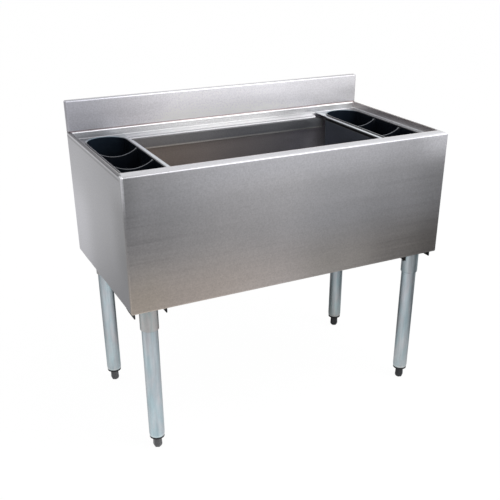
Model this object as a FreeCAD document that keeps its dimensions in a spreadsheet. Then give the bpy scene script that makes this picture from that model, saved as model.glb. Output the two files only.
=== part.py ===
import FreeCAD, Part
import os
import re
import Sketcher

# Underbar ice bin with a backsplash, four tubular legs and a bottle well at each end.
# Sizes are in millimetres; +X is the right end, +Y the back, +Z up.
# The origin is on the floor under the middle of the bin.

SIZES = (
    ("bin_width", 914.4, "overall width"),
    ("bin_depth", 474.0, "overall depth, apron face to back"),
    ("apron_bottom", 429.0, "floor to the lower edge of the apron"),
    ("apron_height", 342.9, "lower edge of the apron to the rim"),
    ("splash_height", 83.0, "rim to the top of the backsplash"),
    ("splash_depth", 15.0, "backsplash face to the back of the bin"),
    ("sheet_thick", 1.2, "stainless sheet"),
    ("bend_round", 3.5, "outer radius of the jacket bends"),
    ("splash_round", 4.0, "outer radius of the backsplash bends"),
    ("cut_over", 5.0, "overrun of a cut past an open side"),
    ("rim_front", 35.0, "flat rim along the front"),
    ("rim_side", 7.0, "narrow rim along each end"),
    ("rim_back", 3.5, "recess wall in front of the backsplash face, and its top bend"),
    ("bottom_return", 8.0, "return flange round the lower edge"),
    ("notch_length", 4.0, "bend relief notch in front of the backsplash"),
    ("notch_depth", 3.0, "depth of the relief notch"),
    ("splash_return", 14.0, "return flange at the back of the backsplash"),
    ("recess_depth", 20.0, "rim down to the ledge"),
    ("ledge_front", 7.0, "ledge along the front"),
    ("ledge_side", 17.0, "ledge along each end"),
    ("ledge_back", 12.5, "ledge along the back behind the bottle wells"),
    ("shelf_depth", 38.5, "wide shelf along the back of the ice space"),
    ("shelf_lip", 38.0, "turned down lip of the shelf"),
    ("shelf_round", 6.0, "outer radius of the shelf bend"),
    ("recess_round", 1.5, "bend between the recess wall and the shelf"),
    ("liner_set", 1.5, "liner wall set back from the ledge edge"),
    ("liner_flange", 5.0, "flange of the liner under the ledge"),
    ("foam_floor", 30.5, "foam between the bottom pan and the liner floor"),
    ("liner_corner", 16.0, "corner radius of the liner"),
    ("liner_cove", 10.0, "cove between the liner walls and floor"),
    ("foam_gap", 0.8, "foam to the edge of the bottom pan"),
    ("foam_relief", 1.0, "foam to liner"),
    ("pan_gap", 0.5, "bottom pan to the bends of the jacket"),
    ("pan_edge", 12.0, "turned up edge of the bottom pan"),
    ("tray_gap", 2.0, "bottle tray to recess wall"),
    ("tray_strip", 18.2, "inner wall of a bottle well to the ice side of its tray"),
    ("tray_round", 3.0, "outer radius of the tray bend"),
    ("tray_relief", 2.0, "bend relief notch of the tray past the bend"),
    ("wall_front_gap", 2.5, "hanging wall of a tray to the ledge at the front"),
    ("wall_back_gap", 34.0, "hanging wall of a tray to the lip of the shelf"),
    ("wall_round", 6.0, "outer radius of the upright bends of the hanging wall"),
    ("wall_return_gap", 5.0, "returns of the hanging wall to the bottle well"),
    ("tray_foot_gap", 12.0, "hanging wall of a tray to the liner floor"),
    ("shelf_gap", 2.0, "shelf end, under a tray, to the bottle well there"),
    ("shelf_notch_gap", 12.0, "notch in the right end of the shelf past the ice side of the tray"),
    ("shelf_notch_depth", 8.0, "depth of the notch, down from the shelf into its lip"),
    ("well_side_gap", 4.5, "bottle well to the ledge at the end of the bin"),
    ("well_front_gap", 1.8, "bottle well to the ledge at the front"),
    ("well_back_gap", 2.8, "bottle well to the ledge at the back"),
    ("well_width", 106.8, "inner width of a bottle well"),
    ("well_clear", 76.2, "bottle well to the liner floor"),
    ("well_wall", 2.2, "wall and floor of a bottle well"),
    ("well_rim", 3.0, "rim of a bottle well past its wall"),
    ("well_rim_thick", 2.2, "thickness of the well rim"),
    ("well_rim_round", 1.0, "rounding of the well rim"),
    ("well_seat_gap", 0.8, "well to the opening of the tray"),
    ("well_draft", 1.0, "draft of the well walls in degrees"),
    ("divider_thick", 3.0, "divider between two bottles, at the top"),
    ("divider_pitch", 124.0, "distance between the two dividers"),
    ("saddle_start", 4.0, "well rim down to the ends of a divider edge"),
    ("saddle_depth", 16.4, "sag of a divider edge"),
    ("drain_flange_dia", 76.0, "drain flange"),
    ("drain_flange_thick", 2.0, "thickness of the drain flange"),
    ("drain_barrel_dia", 38.0, "barrel of the drain through the bottom"),
    ("drain_outlet_dia", 33.4, "outlet pipe of the drain"),
    ("drain_outlet_length", 28.0, "length of the outlet pipe"),
    ("drain_bore_dia", 25.4, "bore of the drain"),
    ("drain_gap", 0.6, "radial gap round the drain barrel"),
    ("drain_foam_gap", 12.0, "radial gap of the foam round the drain barrel"),
    ("gasket_thick", 1.5, "drain gasket"),
    ("gasket_lap", 1.5, "drain flange past the gasket"),
    ("locknut_wall", 6.0, "drain locknut from its bore to a flat"),
    ("locknut_thick", 9.0, "thickness of the drain locknut"),
    ("locknut_gap", 0.1, "radial gap of the locknut on the barrel"),
    ("barrel_end", 2.0, "drain barrel past the locknut"),
    ("strainer_dia", 62.0, "strainer plate"),
    ("strainer_thick", 1.5, "thickness of the strainer plate"),
    ("strainer_skirt", 8.0, "collar of the strainer inside the drain"),
    ("strainer_gap", 0.4, "radial gap of the collar in the drain"),
    ("strainer_wall", 1.5, "wall of the strainer collar"),
    ("strainer_hole_dia", 4.5, "hole of the strainer"),
    ("strainer_ring_dia", 14.0, "ring of strainer holes"),
    ("strainer_hole_count", 6, "holes in the ring"),
    ("gusset_gap", 1.5, "return flange at the end of the bin to a leg gusset"),
    ("gusset_set", 7.0, "return flange at the front to a leg gusset"),
    ("gusset_width", 86.0, "width of a leg gusset"),
    ("gusset_length", 125.0, "length of a leg gusset"),
    ("gusset_drop", 18.5, "flange of a front gusset below the apron"),
    ("gusset_rear_drop", 15.0, "flange of a rear gusset below the apron"),
    ("gusset_tail", 6.0, "gusset flange below the apron at its tapered end"),
    ("gusset_full", 45.0, "length of the gusset flange at full height"),
    ("gusset_thick", 3.0, "gusset plate"),
    ("leg_side", 55.4, "end of the bin to a leg axis"),
    ("leg_front", 43.3, "front or back of the bin to a leg axis"),
    ("socket_wall", 2.75, "wall of a leg socket"),
    ("socket_drop", 68.0, "lower edge of the apron to the socket end"),
    ("socket_gap", 0.25, "radial gap between socket and tube"),
    ("socket_bevel", 1.5, "bevel at the socket mouth"),
    ("screw_dia", 6.0, "leg set screw"),
    ("screw_hex", 3.4, "hexagon socket of the set screw across corners"),
    ("screw_hex_depth", 2.0, "depth of the hexagon socket"),
    ("screw_proud", 0.4, "set screw past the socket"),
    ("screw_rise", 38.0, "socket end up to the set screw"),
    ("screw_gap", 0.1, "radial gap round the set screw"),
    ("tube_dia", 42.0, "leg tube"),
    ("tube_wall", 1.6, "wall of the leg tube"),
    ("tube_swage", 1.0, "inward taper at the tube end"),
    ("tube_swage_height", 10.0, "height of the taper"),
    ("tube_head_gap", 2.0, "leg tube to the gusset"),
    ("insert_flange", 3.0, "flange of the foot insert under the tube"),
    ("insert_plug", 34.0, "foot insert inside the tube"),
    ("insert_gap", 0.2, "radial gap of the insert in the tube"),
    ("foot_height", 33.0, "bullet foot below the insert"),
    ("foot_across", 20.5, "bullet foot across flats"),
    ("foot_flare", 1.2, "flare of the bullet foot in degrees"),
    ("foot_tip_dia", 14.0, "flat end of the bullet foot"),
    ("foot_bevel_dia", 26.0, "upper end of the bevel on the bullet foot"),
    ("foot_bevel", 8.0, "height of the bevel at the foot end"),
    ("stud_dia", 12.7, "stud of the bullet foot"),
    ("stud_length", 64.0, "length of the stud"),
    ("stud_gap", 0.1, "radial gap of the stud in the insert"),
)
ALIASES = {alias for alias, value, note in SIZES}
TOUCH = 1e-4

# Faces and levels that several pieces share.
LEFT = "-bin_width / 2"
RIGHT = "bin_width / 2"
FRONT = "-bin_depth / 2"
BACK = "bin_depth / 2"
RIM = "(apron_bottom + apron_height)"
SPLASH_TOP = f"({RIM} + splash_height)"
LEDGE = f"({RIM} - recess_depth)"
SEAT = f"({LEDGE} + sheet_thick)"
PAN = "(apron_bottom + sheet_thick)"
FLOOR = f"({PAN} + 2 * sheet_thick + foam_floor)"
LINER_DEPTH = f"({LEDGE} - {FLOOR})"
SPLASH_FACE = "(bin_depth / 2 - splash_depth)"
RECESS_FRONT = "(-bin_depth / 2 + rim_front + sheet_thick)"
RECESS_BACK = f"({SPLASH_FACE} - rim_back)"
RECESS_SIDE = "(bin_width / 2 - rim_side - sheet_thick)"
OPEN_FRONT = "(-bin_depth / 2 + rim_front + ledge_front)"
OPEN_BACK = f"({RECESS_BACK} - ledge_back)"
OPEN_SIDE = "(bin_width / 2 - rim_side - ledge_side)"
SHELF_EDGE = f"({RECESS_BACK} - shelf_depth)"
WELL_INSET = "(rim_side + ledge_side + well_side_gap + well_wall)"
WELL_FRONT = f"({OPEN_FRONT} + well_front_gap + well_wall)"
WELL_BACK = f"({OPEN_BACK} - well_back_gap - well_wall)"
WELL_FRONT_ARC = f"({WELL_FRONT} + well_width / 2)"
WELL_BACK_ARC = f"({WELL_BACK} - well_width / 2)"
WELL_MIDDLE = f"(({WELL_FRONT} + {WELL_BACK}) / 2)"
WELL_DEPTH = f"({SEAT} - {FLOOR} - well_clear)"
TRAY_REACH = f"({WELL_INSET} + well_width + tray_strip)"
SHELF_END = f"({RIGHT} - {WELL_INSET} - well_width - well_wall - shelf_gap)"
SHELF_NOTCH = f"({RIGHT} - {TRAY_REACH} - shelf_notch_gap)"
BARREL = "(drain_barrel_dia / 2)"
DRAIN_TOP = f"({FLOOR} + gasket_thick + drain_flange_thick)"
TUBE_END = "(foot_height + insert_flange)"
TUBE_BORE = "(tube_dia / 2 - tube_wall)"
GUSSET_UNDER = f"({PAN} - gusset_thick)"
GUSSET_SIDE = "(bottom_return + gusset_gap)"
GUSSET_FRONT = "(bottom_return + gusset_set)"
SOCKET_RADIUS = "(tube_dia / 2 + socket_gap + socket_wall)"
BARREL_END = f"({PAN} - locknut_thick - barrel_end)"

ENDS = (("left", -1), ("right", 1))
LEGS = tuple(
    (f"{front}_{end}", side, depth)
    for front, depth in (("front", -1), ("rear", 1))
    for end, side in ENDS
)

doc = FreeCAD.newDocument("underbar_ice_bin")
sheet = doc.addObject("Spreadsheet::Sheet", "Sizes")


def fill_sheet():
    """Write every driving size to its own cell."""
    for row, (alias, value, note) in enumerate(SIZES, start=1):
        sheet.set(f"A{row}", note)
        sheet.set(f"B{row}", str(value))
        sheet.setAlias(f"B{row}", alias)
    doc.recompute()


def bound(text):
    """Turn the size names of a formula into references to the sheet."""
    return re.sub(r"[a-z_]+", lambda word: f"Sizes.{word[0]}" if word[0] in ALIASES else word[0], text)


def value(text):
    """Return the present value of a formula."""
    return float(sheet.evalExpression(text))


# Sketches.


def new_body(label):
    """Start a sub-part."""
    body = doc.addObject("PartDesign::Body", label)
    body.Label = label
    return body


def place(item, x, y, z):
    """Tie the position of a sub-part to the sheet."""
    for axis, text in zip("xyz", (x, y, z)):
        item.setExpression(f"Placement.Base.{axis}", bound(text))


def new_sketch(body, name, role, offset):
    """Start a sketch parallel to one origin plane of a body."""
    sketch = body.newObject("Sketcher::SketchObject", name)
    plane = next(item for item in body.Origin.OriginFeatures if item.Role == role)
    sketch.AttachmentSupport = [(plane, "")]
    sketch.MapMode = "FlatFace"
    sketch.setExpression("AttachmentOffset.Base.z", bound(offset))
    return sketch


def tie(sketch, kind, geometry, spot, text):
    """Hold one coordinate of a sketch point by a formula."""
    index = sketch.addConstraint(Sketcher.Constraint(kind, -1, 1, geometry, spot, value(text)))
    sketch.setExpression(f"Constraints[{index}]", bound(text))


def arc_between(centre, start, end):
    """Return the arc that runs counter-clockwise from start to end."""
    circle = Part.Circle(centre, FreeCAD.Vector(0, 0, 1), (start - centre).Length)
    return Part.ArcOfCircle(circle, circle.parameter(start), circle.parameter(end))


def loop(sketch, points, arcs=None):
    """Draw a closed outline; arcs maps a segment to its centre and turn."""
    arcs = arcs or {}
    spots = [FreeCAD.Vector(value(x), value(y), 0) for x, y in points]
    ends = []
    for index, start in enumerate(spots):
        end = spots[(index + 1) % len(spots)]
        if index not in arcs:
            ends.append((sketch.addGeometry(Part.LineSegment(start, end), False), 1, 2))
            continue
        x, y, turn = arcs[index]
        centre = FreeCAD.Vector(value(x), value(y), 0)
        first, last = (start, end) if turn > 0 else (end, start)
        geometry = sketch.addGeometry(arc_between(centre, first, last), False)
        ends.append((geometry, 1, 2) if turn > 0 else (geometry, 2, 1))
    for index, (geometry, begin, finish) in enumerate(ends):
        follower, joint, unused = ends[(index + 1) % len(ends)]
        sketch.addConstraint(Sketcher.Constraint("Coincident", geometry, finish, follower, joint))
    for (geometry, begin, finish), (x, y) in zip(ends, points):
        tie(sketch, "DistanceX", geometry, begin, x)
        tie(sketch, "DistanceY", geometry, begin, y)
    for index, (x, y, turn) in arcs.items():
        tie(sketch, "DistanceY", ends[index][0], 3, y)


def ring(sketch, x, y, radius):
    """Draw a circle."""
    middle = FreeCAD.Vector(value(x), value(y), 0)
    geometry = sketch.addGeometry(Part.Circle(middle, FreeCAD.Vector(0, 0, 1), value(radius)), False)
    tie(sketch, "DistanceX", geometry, 3, x)
    tie(sketch, "DistanceY", geometry, 3, y)
    index = sketch.addConstraint(Sketcher.Constraint("Radius", geometry, value(radius)))
    sketch.setExpression(f"Constraints[{index}]", bound(radius))


def rectangle(sketch, left, right, front, back):
    """Draw a rectangle between two pairs of lines."""
    loop(sketch, ((left, front), (right, front), (right, back), (left, back)))


def obround(sketch, x, front, back, radius):
    """Draw a long hole whose round ends are centred at front and back."""
    points = (
        (f"{x} - ({radius})", front),
        (f"{x} + ({radius})", front),
        (f"{x} + ({radius})", back),
        (f"{x} - ({radius})", back),
    )
    loop(sketch, points, {0: (x, front, 1), 2: (x, back, 1)})


def hexagon(sketch, across):
    """Draw a regular hexagon round the sketch origin."""
    corner = f"({across}) / sqrt(3)"
    flat = f"({across}) / 2"
    half = f"({across}) / sqrt(12)"
    loop(sketch, (
        (corner, "0"), (half, flat), (f"-{half}", flat),
        (f"-{corner}", "0"), (f"-{half}", f"-{flat}"), (half, f"-{flat}"),
    ))


# Features.


def pad(body, sketch, length, down=False, taper="0"):
    """Raise a sketch into material."""
    feature = body.newObject("PartDesign::Pad", f"{sketch.Name}_pad")
    feature.Profile = sketch
    feature.Reversed = down
    feature.setExpression("Length", bound(length))
    feature.setExpression("TaperAngle", bound(taper))
    return feature


def pocket(body, sketch, depth, forward=False, both=False, taper="0"):
    """Cut a sketch out of the material behind it, or in front of it."""
    feature = body.newObject("PartDesign::Pocket", f"{sketch.Name}_cut")
    feature.Profile = sketch
    feature.Reversed = forward
    feature.Midplane = both
    feature.setExpression("Length", bound(depth))
    feature.setExpression("TaperAngle", bound(taper))
    return feature


def block(body, name, sides, level, height):
    """Add a block that stands on a level."""
    sketch = new_sketch(body, name, "XY_Plane", level)
    rectangle(sketch, *sides)
    pad(body, sketch, height)


def hollow(body, name, sides, level, depth):
    """Cut a block that hangs from a level."""
    sketch = new_sketch(body, name, "XY_Plane", level)
    rectangle(sketch, *sides)
    pocket(body, sketch, depth)


def bore(body, name, radius, level, depth):
    """Cut a round hole on the body's own axis, down from a level."""
    sketch = new_sketch(body, name, "XY_Plane", level)
    ring(sketch, "0", "0", radius)
    pocket(body, sketch, depth)


def turned(body, name, profile, cut=False):
    """Turn a profile of radii and heights round the body's own axis."""
    sketch = new_sketch(body, name, "XZ_Plane", "0")
    loop(sketch, profile)
    kind = "PartDesign::Groove" if cut else "PartDesign::Revolution"
    feature = body.newObject(kind, f"{name}_turn")
    feature.Profile = sketch
    feature.ReferenceAxis = (sketch, ["V_Axis"])
    feature.Angle = 360


def lies_on(edge, spots):
    """Tell whether both ends of an edge have the given coordinates."""
    points = [corner.Point for corner in edge.Vertexes]
    return all(abs(getattr(point, axis) - spot) < TOUCH for point in points for axis, spot in spots.items())


def round_edges(body, name, radius, *places):
    """Round the edges that lie on the given places."""
    doc.recompute()
    base = body.Tip
    wanted = [{axis: value(text) for axis, text in place.items()} for place in places]
    edges = enumerate(base.Shape.Edges, start=1)
    names = [f"Edge{index}" for index, edge in edges if any(lies_on(edge, spots) for spots in wanted)]
    feature = body.newObject("PartDesign::Fillet", name)
    feature.Base = (base, names)
    feature.setExpression("Radius", bound(radius))


def carve(body, tool):
    """Cut a rounded block, built as a body of its own, out of a body."""
    doc.recompute()
    feature = body.newObject("PartDesign::Boolean", f"{tool.Name}_carve")
    feature.Type = "Cut"
    feature.setObjects([tool])


# Sheet metal box.


def bends_of(side, front, top, bottom):
    """List the bends of a box that is open at the back."""
    return (
        {"x": f"-{side}", "y": front},
        {"x": side, "y": front},
        {"y": front, "z": top},
        {"x": f"-{side}", "z": top},
        {"x": side, "z": top},
        {"y": front, "z": bottom},
        {"x": f"-{side}", "z": bottom},
        {"x": side, "z": bottom},
    )


def outer_jacket():
    """Front apron and both ends, folded from one sheet."""
    body = new_body("outer_jacket")
    block(body, "jacket_block", (LEFT, RIGHT, FRONT, BACK), "apron_bottom", "apron_height")
    round_edges(body, "jacket_bends", "bend_round", *bends_of(RIGHT, FRONT, RIM, "apron_bottom"))
    side = f"({RIGHT} - sheet_thick)"
    front = f"({FRONT} + sheet_thick)"
    past = f"{BACK} + cut_over"
    under_rim = f"({RIM} - sheet_thick)"
    inside = new_body("jacket_inside")
    block(inside, "jacket_inside_block", (f"-{side}", side, front, past), PAN,
          "apron_height - 2 * sheet_thick")
    round_edges(inside, "jacket_inner_bends", "bend_round - sheet_thick",
                *bends_of(side, front, under_rim, PAN))
    carve(body, inside)
    mouth = f"({RIGHT} - rim_side)"
    hollow(body, "jacket_mouth", (f"-{mouth}", mouth, f"{FRONT} + rim_front", past), RIM, "sheet_thick")
    base = f"({RIGHT} - bottom_return)"
    hollow(body, "jacket_base", (f"-{base}", base, f"{FRONT} + bottom_return", past), PAN, "sheet_thick")
    notch_back = f"{SPLASH_FACE} - sheet_thick"
    notch = (f"{notch_back} - notch_length", notch_back)
    for end, side in ENDS:
        inner = f"{side} * ({RIGHT} - rim_side / 2)"
        outer = f"{side} * ({RIGHT} + cut_over)"
        hollow(body, f"jacket_notch_{end}", (inner, outer, *notch), RIM, "notch_depth")
    return body


def top_deck():
    """Recess wall, ledge and rear shelf, folded from one sheet."""
    body = new_body("top_deck")
    side = f"({RIGHT} - rim_side)"
    wall_back = f"({RECESS_BACK} + sheet_thick)"
    front = f"{FRONT} + rim_front"
    block(body, "deck_block", (f"-{side}", side, front, wall_back), f"{LEDGE} - sheet_thick",
          "recess_depth + sheet_thick")
    block(body, "deck_back_rim", (f"-{side}", side, RECESS_BACK, BACK), f"{RIM} - sheet_thick", "sheet_thick")
    hollow(body, "deck_recess", (f"-{RECESS_SIDE}", RECESS_SIDE, RECESS_FRONT, RECESS_BACK), RIM,
           "recess_depth")
    opening = new_sketch(body, "deck_opening", "XY_Plane", LEDGE)
    loop(opening, (
        (f"-{OPEN_SIDE}", OPEN_FRONT), (OPEN_SIDE, OPEN_FRONT), (OPEN_SIDE, OPEN_BACK),
        (SHELF_END, OPEN_BACK), (SHELF_END, SHELF_EDGE), (f"-{SHELF_END}", SHELF_EDGE),
        (f"-{SHELF_END}", OPEN_BACK), (f"-{OPEN_SIDE}", OPEN_BACK),
    ))
    pocket(body, opening, "sheet_thick")
    lip_back = f"({SHELF_EDGE} + sheet_thick)"
    block(body, "deck_lip", (f"-{SHELF_END}", SHELF_END, SHELF_EDGE, lip_back), f"{LEDGE} - shelf_lip",
          "shelf_lip")
    round_edges(body, "deck_shelf_bend", "shelf_round", {"y": SHELF_EDGE, "z": LEDGE})
    round_edges(body, "deck_shelf_inner_bend", "shelf_round - sheet_thick",
                {"y": lip_back, "z": f"{LEDGE} - sheet_thick"})
    round_edges(body, "deck_rim_bend", "rim_back", {"y": RECESS_BACK, "z": RIM})
    round_edges(body, "deck_rim_inner_bend", "rim_back - sheet_thick",
                {"y": wall_back, "z": f"{RIM} - sheet_thick"})
    round_edges(body, "deck_wall_bend", "recess_round", {"y": RECESS_BACK, "z": LEDGE})
    notch = (SHELF_NOTCH, f"{SHELF_END} + cut_over", f"{SHELF_EDGE} - cut_over", OPEN_BACK)
    hollow(body, "deck_shelf_notch", notch, LEDGE, "shelf_notch_depth")
    return body


def backsplash():
    """Boxed splash along the back, open behind."""
    body = new_body("backsplash")
    block(body, "splash_block", (LEFT, RIGHT, SPLASH_FACE, BACK), RIM, "splash_height")
    round_edges(body, "splash_bends", "splash_round", *bends_of(RIGHT, SPLASH_FACE, SPLASH_TOP, SPLASH_TOP))
    side = f"({RIGHT} - sheet_thick)"
    front = f"({SPLASH_FACE} + sheet_thick)"
    top = f"({SPLASH_TOP} - sheet_thick)"
    inside = new_body("splash_inside")
    block(inside, "splash_inside_block", (f"-{side}", side, front, f"{BACK} - sheet_thick"),
          f"{RIM} - cut_over", "splash_height - sheet_thick + cut_over")
    round_edges(inside, "splash_inner_bends", "splash_round - sheet_thick", *bends_of(side, front, top, top))
    carve(body, inside)
    inner = f"({RIGHT} - splash_return)"
    hollow(body, "splash_window", (f"-{inner}", inner, f"{BACK} - 2 * sheet_thick", f"{BACK} + cut_over"),
           f"{SPLASH_TOP} - splash_return", "splash_height - splash_return")
    return body


def back_panel():
    """Flat sheet that closes the back."""
    body = new_body("back_panel")
    side = f"({RIGHT} - sheet_thick)"
    top = f"({RIM} - sheet_thick)"
    block(body, "panel_block", (f"-{side}", side, f"{BACK} - sheet_thick", BACK), PAN,
          "apron_height - 2 * sheet_thick")
    round_edges(body, "panel_corners", "bend_round", {"x": f"-{side}", "z": top}, {"x": side, "z": top},
                {"x": f"-{side}", "z": PAN}, {"x": side, "z": PAN})
    return body


def bottom_pan():
    """Sheet with turned up edges that closes the bottom."""
    body = new_body("bottom_pan")
    side = f"({RIGHT} - bend_round - pan_gap)"
    front = f"({FRONT} + bend_round + pan_gap)"
    back = f"({BACK} - bend_round - pan_gap)"
    block(body, "pan_block", (f"-{side}", side, front, back), PAN, "pan_edge")
    inner = f"({side} - sheet_thick)"
    hollow(body, "pan_inside", (f"-{inner}", inner, f"{front} + sheet_thick", f"{back} - sheet_thick"),
           f"{PAN} + pan_edge", "pan_edge - sheet_thick")
    bore(body, "pan_hole", f"{BARREL} + drain_gap", f"{PAN} + sheet_thick", "sheet_thick")
    return body


def sides_of(grow):
    """Return the liner rectangle, grown outward by a formula."""
    return (
        f"(-{OPEN_SIDE} - liner_set - ({grow}))",
        f"({OPEN_SIDE} + liner_set + ({grow}))",
        f"({OPEN_FRONT} - liner_set - ({grow}))",
        f"({OPEN_BACK} + liner_set + ({grow}))",
    )


def corners_of(sides):
    """List the upright edges of a rectangle."""
    left, right, front, back = sides
    return tuple({"x": x, "y": y} for x in (left, right) for y in (front, back))


def round_tub(body, name, sides, corner, cove, level):
    """Round the upright corners of a tub, then the edge of its floor."""
    round_edges(body, f"{name}_corners", corner, *corners_of(sides))
    round_edges(body, f"{name}_cove", cove, {"z": level})


def ice_liner():
    """Deep drawn tub for the ice."""
    body = new_body("ice_liner")
    outer = sides_of("sheet_thick")
    under = f"({FLOOR} - sheet_thick)"
    top = f"({LEDGE} - sheet_thick)"
    block(body, "liner_block", outer, under, LINER_DEPTH)
    round_tub(body, "liner_outer", outer, "liner_corner + sheet_thick", "liner_cove + sheet_thick", under)
    block(body, "liner_rim", sides_of("sheet_thick + liner_flange"), f"{top} - sheet_thick", "sheet_thick")
    inner = sides_of("0")
    inside = new_body("liner_inside")
    block(inside, "liner_inside_block", inner, FLOOR, LINER_DEPTH)
    round_tub(inside, "liner_inner", inner, "liner_corner", "liner_cove", FLOOR)
    carve(body, inside)
    bore(body, "liner_hole", f"{BARREL} + drain_gap", FLOOR, "sheet_thick")
    return body


def insulation():
    """Foam between the jacket and the liner."""
    body = new_body("insulation")
    inset = "bend_round + pan_gap + sheet_thick + foam_gap"
    side = f"({RIGHT} - ({inset}))"
    front = f"{FRONT} + {inset}"
    back = f"{BACK} - ({inset})"
    base = f"({PAN} + sheet_thick)"
    top = f"({LEDGE} - 2 * sheet_thick - foam_relief)"
    block(body, "foam_block", (f"-{side}", side, front, back), base, f"{top} - {base}")
    cavity = f"({FLOOR} - sheet_thick - foam_relief)"
    hollow(body, "foam_cavity", sides_of("sheet_thick + foam_relief"), top, f"{top} - {cavity}")
    bore(body, "foam_hole", f"{BARREL} + drain_foam_gap", cavity, f"{cavity} - {base}")
    return body


# Drain.


def drain_body():
    """Flanged drain with a narrower outlet pipe."""
    body = new_body("drain_body")
    seat = f"({FLOOR} + gasket_thick)"
    turned(body, "drain_profile", (
        ("drain_bore_dia / 2", f"{BARREL_END} - drain_outlet_length"),
        ("drain_outlet_dia / 2", f"{BARREL_END} - drain_outlet_length"),
        ("drain_outlet_dia / 2", BARREL_END),
        (BARREL, BARREL_END),
        (BARREL, seat),
        ("drain_flange_dia / 2", seat),
        ("drain_flange_dia / 2", f"{DRAIN_TOP} - drain_flange_thick / 2"),
        ("drain_flange_dia / 2 - drain_flange_thick", DRAIN_TOP),
        ("drain_bore_dia / 2", DRAIN_TOP),
    ))
    return body


def drain_gasket():
    """Flat washer between the drain flange and the liner floor."""
    body = new_body("drain_gasket")
    sketch = new_sketch(body, "gasket_outline", "XY_Plane", FLOOR)
    ring(sketch, "0", "0", "drain_flange_dia / 2 - gasket_lap")
    ring(sketch, "0", "0", f"{BARREL} + drain_gap")
    pad(body, sketch, "gasket_thick")
    return body


def drain_locknut():
    """Hexagon nut that pulls the drain against the bottom pan."""
    body = new_body("drain_locknut")
    sketch = new_sketch(body, "locknut_outline", "XY_Plane", PAN)
    hexagon(sketch, "drain_barrel_dia + 2 * locknut_wall")
    ring(sketch, "0", "0", f"{BARREL} + locknut_gap")
    pad(body, sketch, "locknut_thick", down=True)
    return body


def drain_strainer():
    """Perforated plate with a collar that drops into the drain."""
    body = new_body("drain_strainer")
    collar = "(drain_bore_dia / 2 - strainer_gap)"
    turned(body, "strainer_profile", (
        ("0", DRAIN_TOP),
        (f"{collar} - strainer_wall", DRAIN_TOP),
        (f"{collar} - strainer_wall", f"{DRAIN_TOP} - strainer_skirt"),
        (collar, f"{DRAIN_TOP} - strainer_skirt"),
        (collar, DRAIN_TOP),
        ("strainer_dia / 2", DRAIN_TOP),
        ("strainer_dia / 2 - strainer_thick", f"{DRAIN_TOP} + strainer_thick"),
        ("0", f"{DRAIN_TOP} + strainer_thick"),
    ))
    bore(body, "strainer_middle", "strainer_hole_dia / 2", f"{DRAIN_TOP} + strainer_thick", "strainer_thick")
    sketch = new_sketch(body, "strainer_hole", "XY_Plane", f"{DRAIN_TOP} + strainer_thick")
    ring(sketch, "strainer_ring_dia / 2", "0", "strainer_hole_dia / 2")
    hole = pocket(body, sketch, "strainer_thick")
    pattern = body.newObject("PartDesign::PolarPattern", "strainer_holes")
    pattern.Originals = [hole]
    pattern.Axis = (sketch, ["N_Axis"])
    pattern.Angle = 360
    pattern.setExpression("Occurrences", bound("strainer_hole_count"))
    body.Tip = pattern
    return body


# Bottle trays and wells.


def from_end(side, distance):
    """Return the X formula of a distance from one end of the bin."""
    return f"{side} * ({RIGHT} - ({distance}))"


def well_middle(side):
    """Return the X formula of the middle of a bottle well."""
    return from_end(side, f"{WELL_INSET} + well_width / 2")


def hanging_wall(sketch, side, front, back):
    """Draw the section of a tray's wall: a sheet with both ends turned towards the well."""
    edge = from_end(side, TRAY_REACH)
    inside = from_end(side, f"{TRAY_REACH} - sheet_thick")
    bend = from_end(side, f"{TRAY_REACH} - wall_round")
    tip = from_end(side, f"{TRAY_REACH} - (tray_strip - well_wall - wall_return_gap)")
    front_bend = f"{front} + wall_round"
    back_bend = f"{back} - wall_round"
    loop(sketch, (
        (tip, front), (bend, front), (edge, front_bend), (edge, back_bend), (bend, back), (tip, back),
        (tip, f"{back} - sheet_thick"), (bend, f"{back} - sheet_thick"), (inside, back_bend),
        (inside, front_bend), (bend, f"{front} + sheet_thick"), (tip, f"{front} + sheet_thick"),
    ), {
        1: (bend, front_bend, -side), 3: (bend, back_bend, -side),
        7: (bend, back_bend, side), 9: (bend, front_bend, side),
    })


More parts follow.
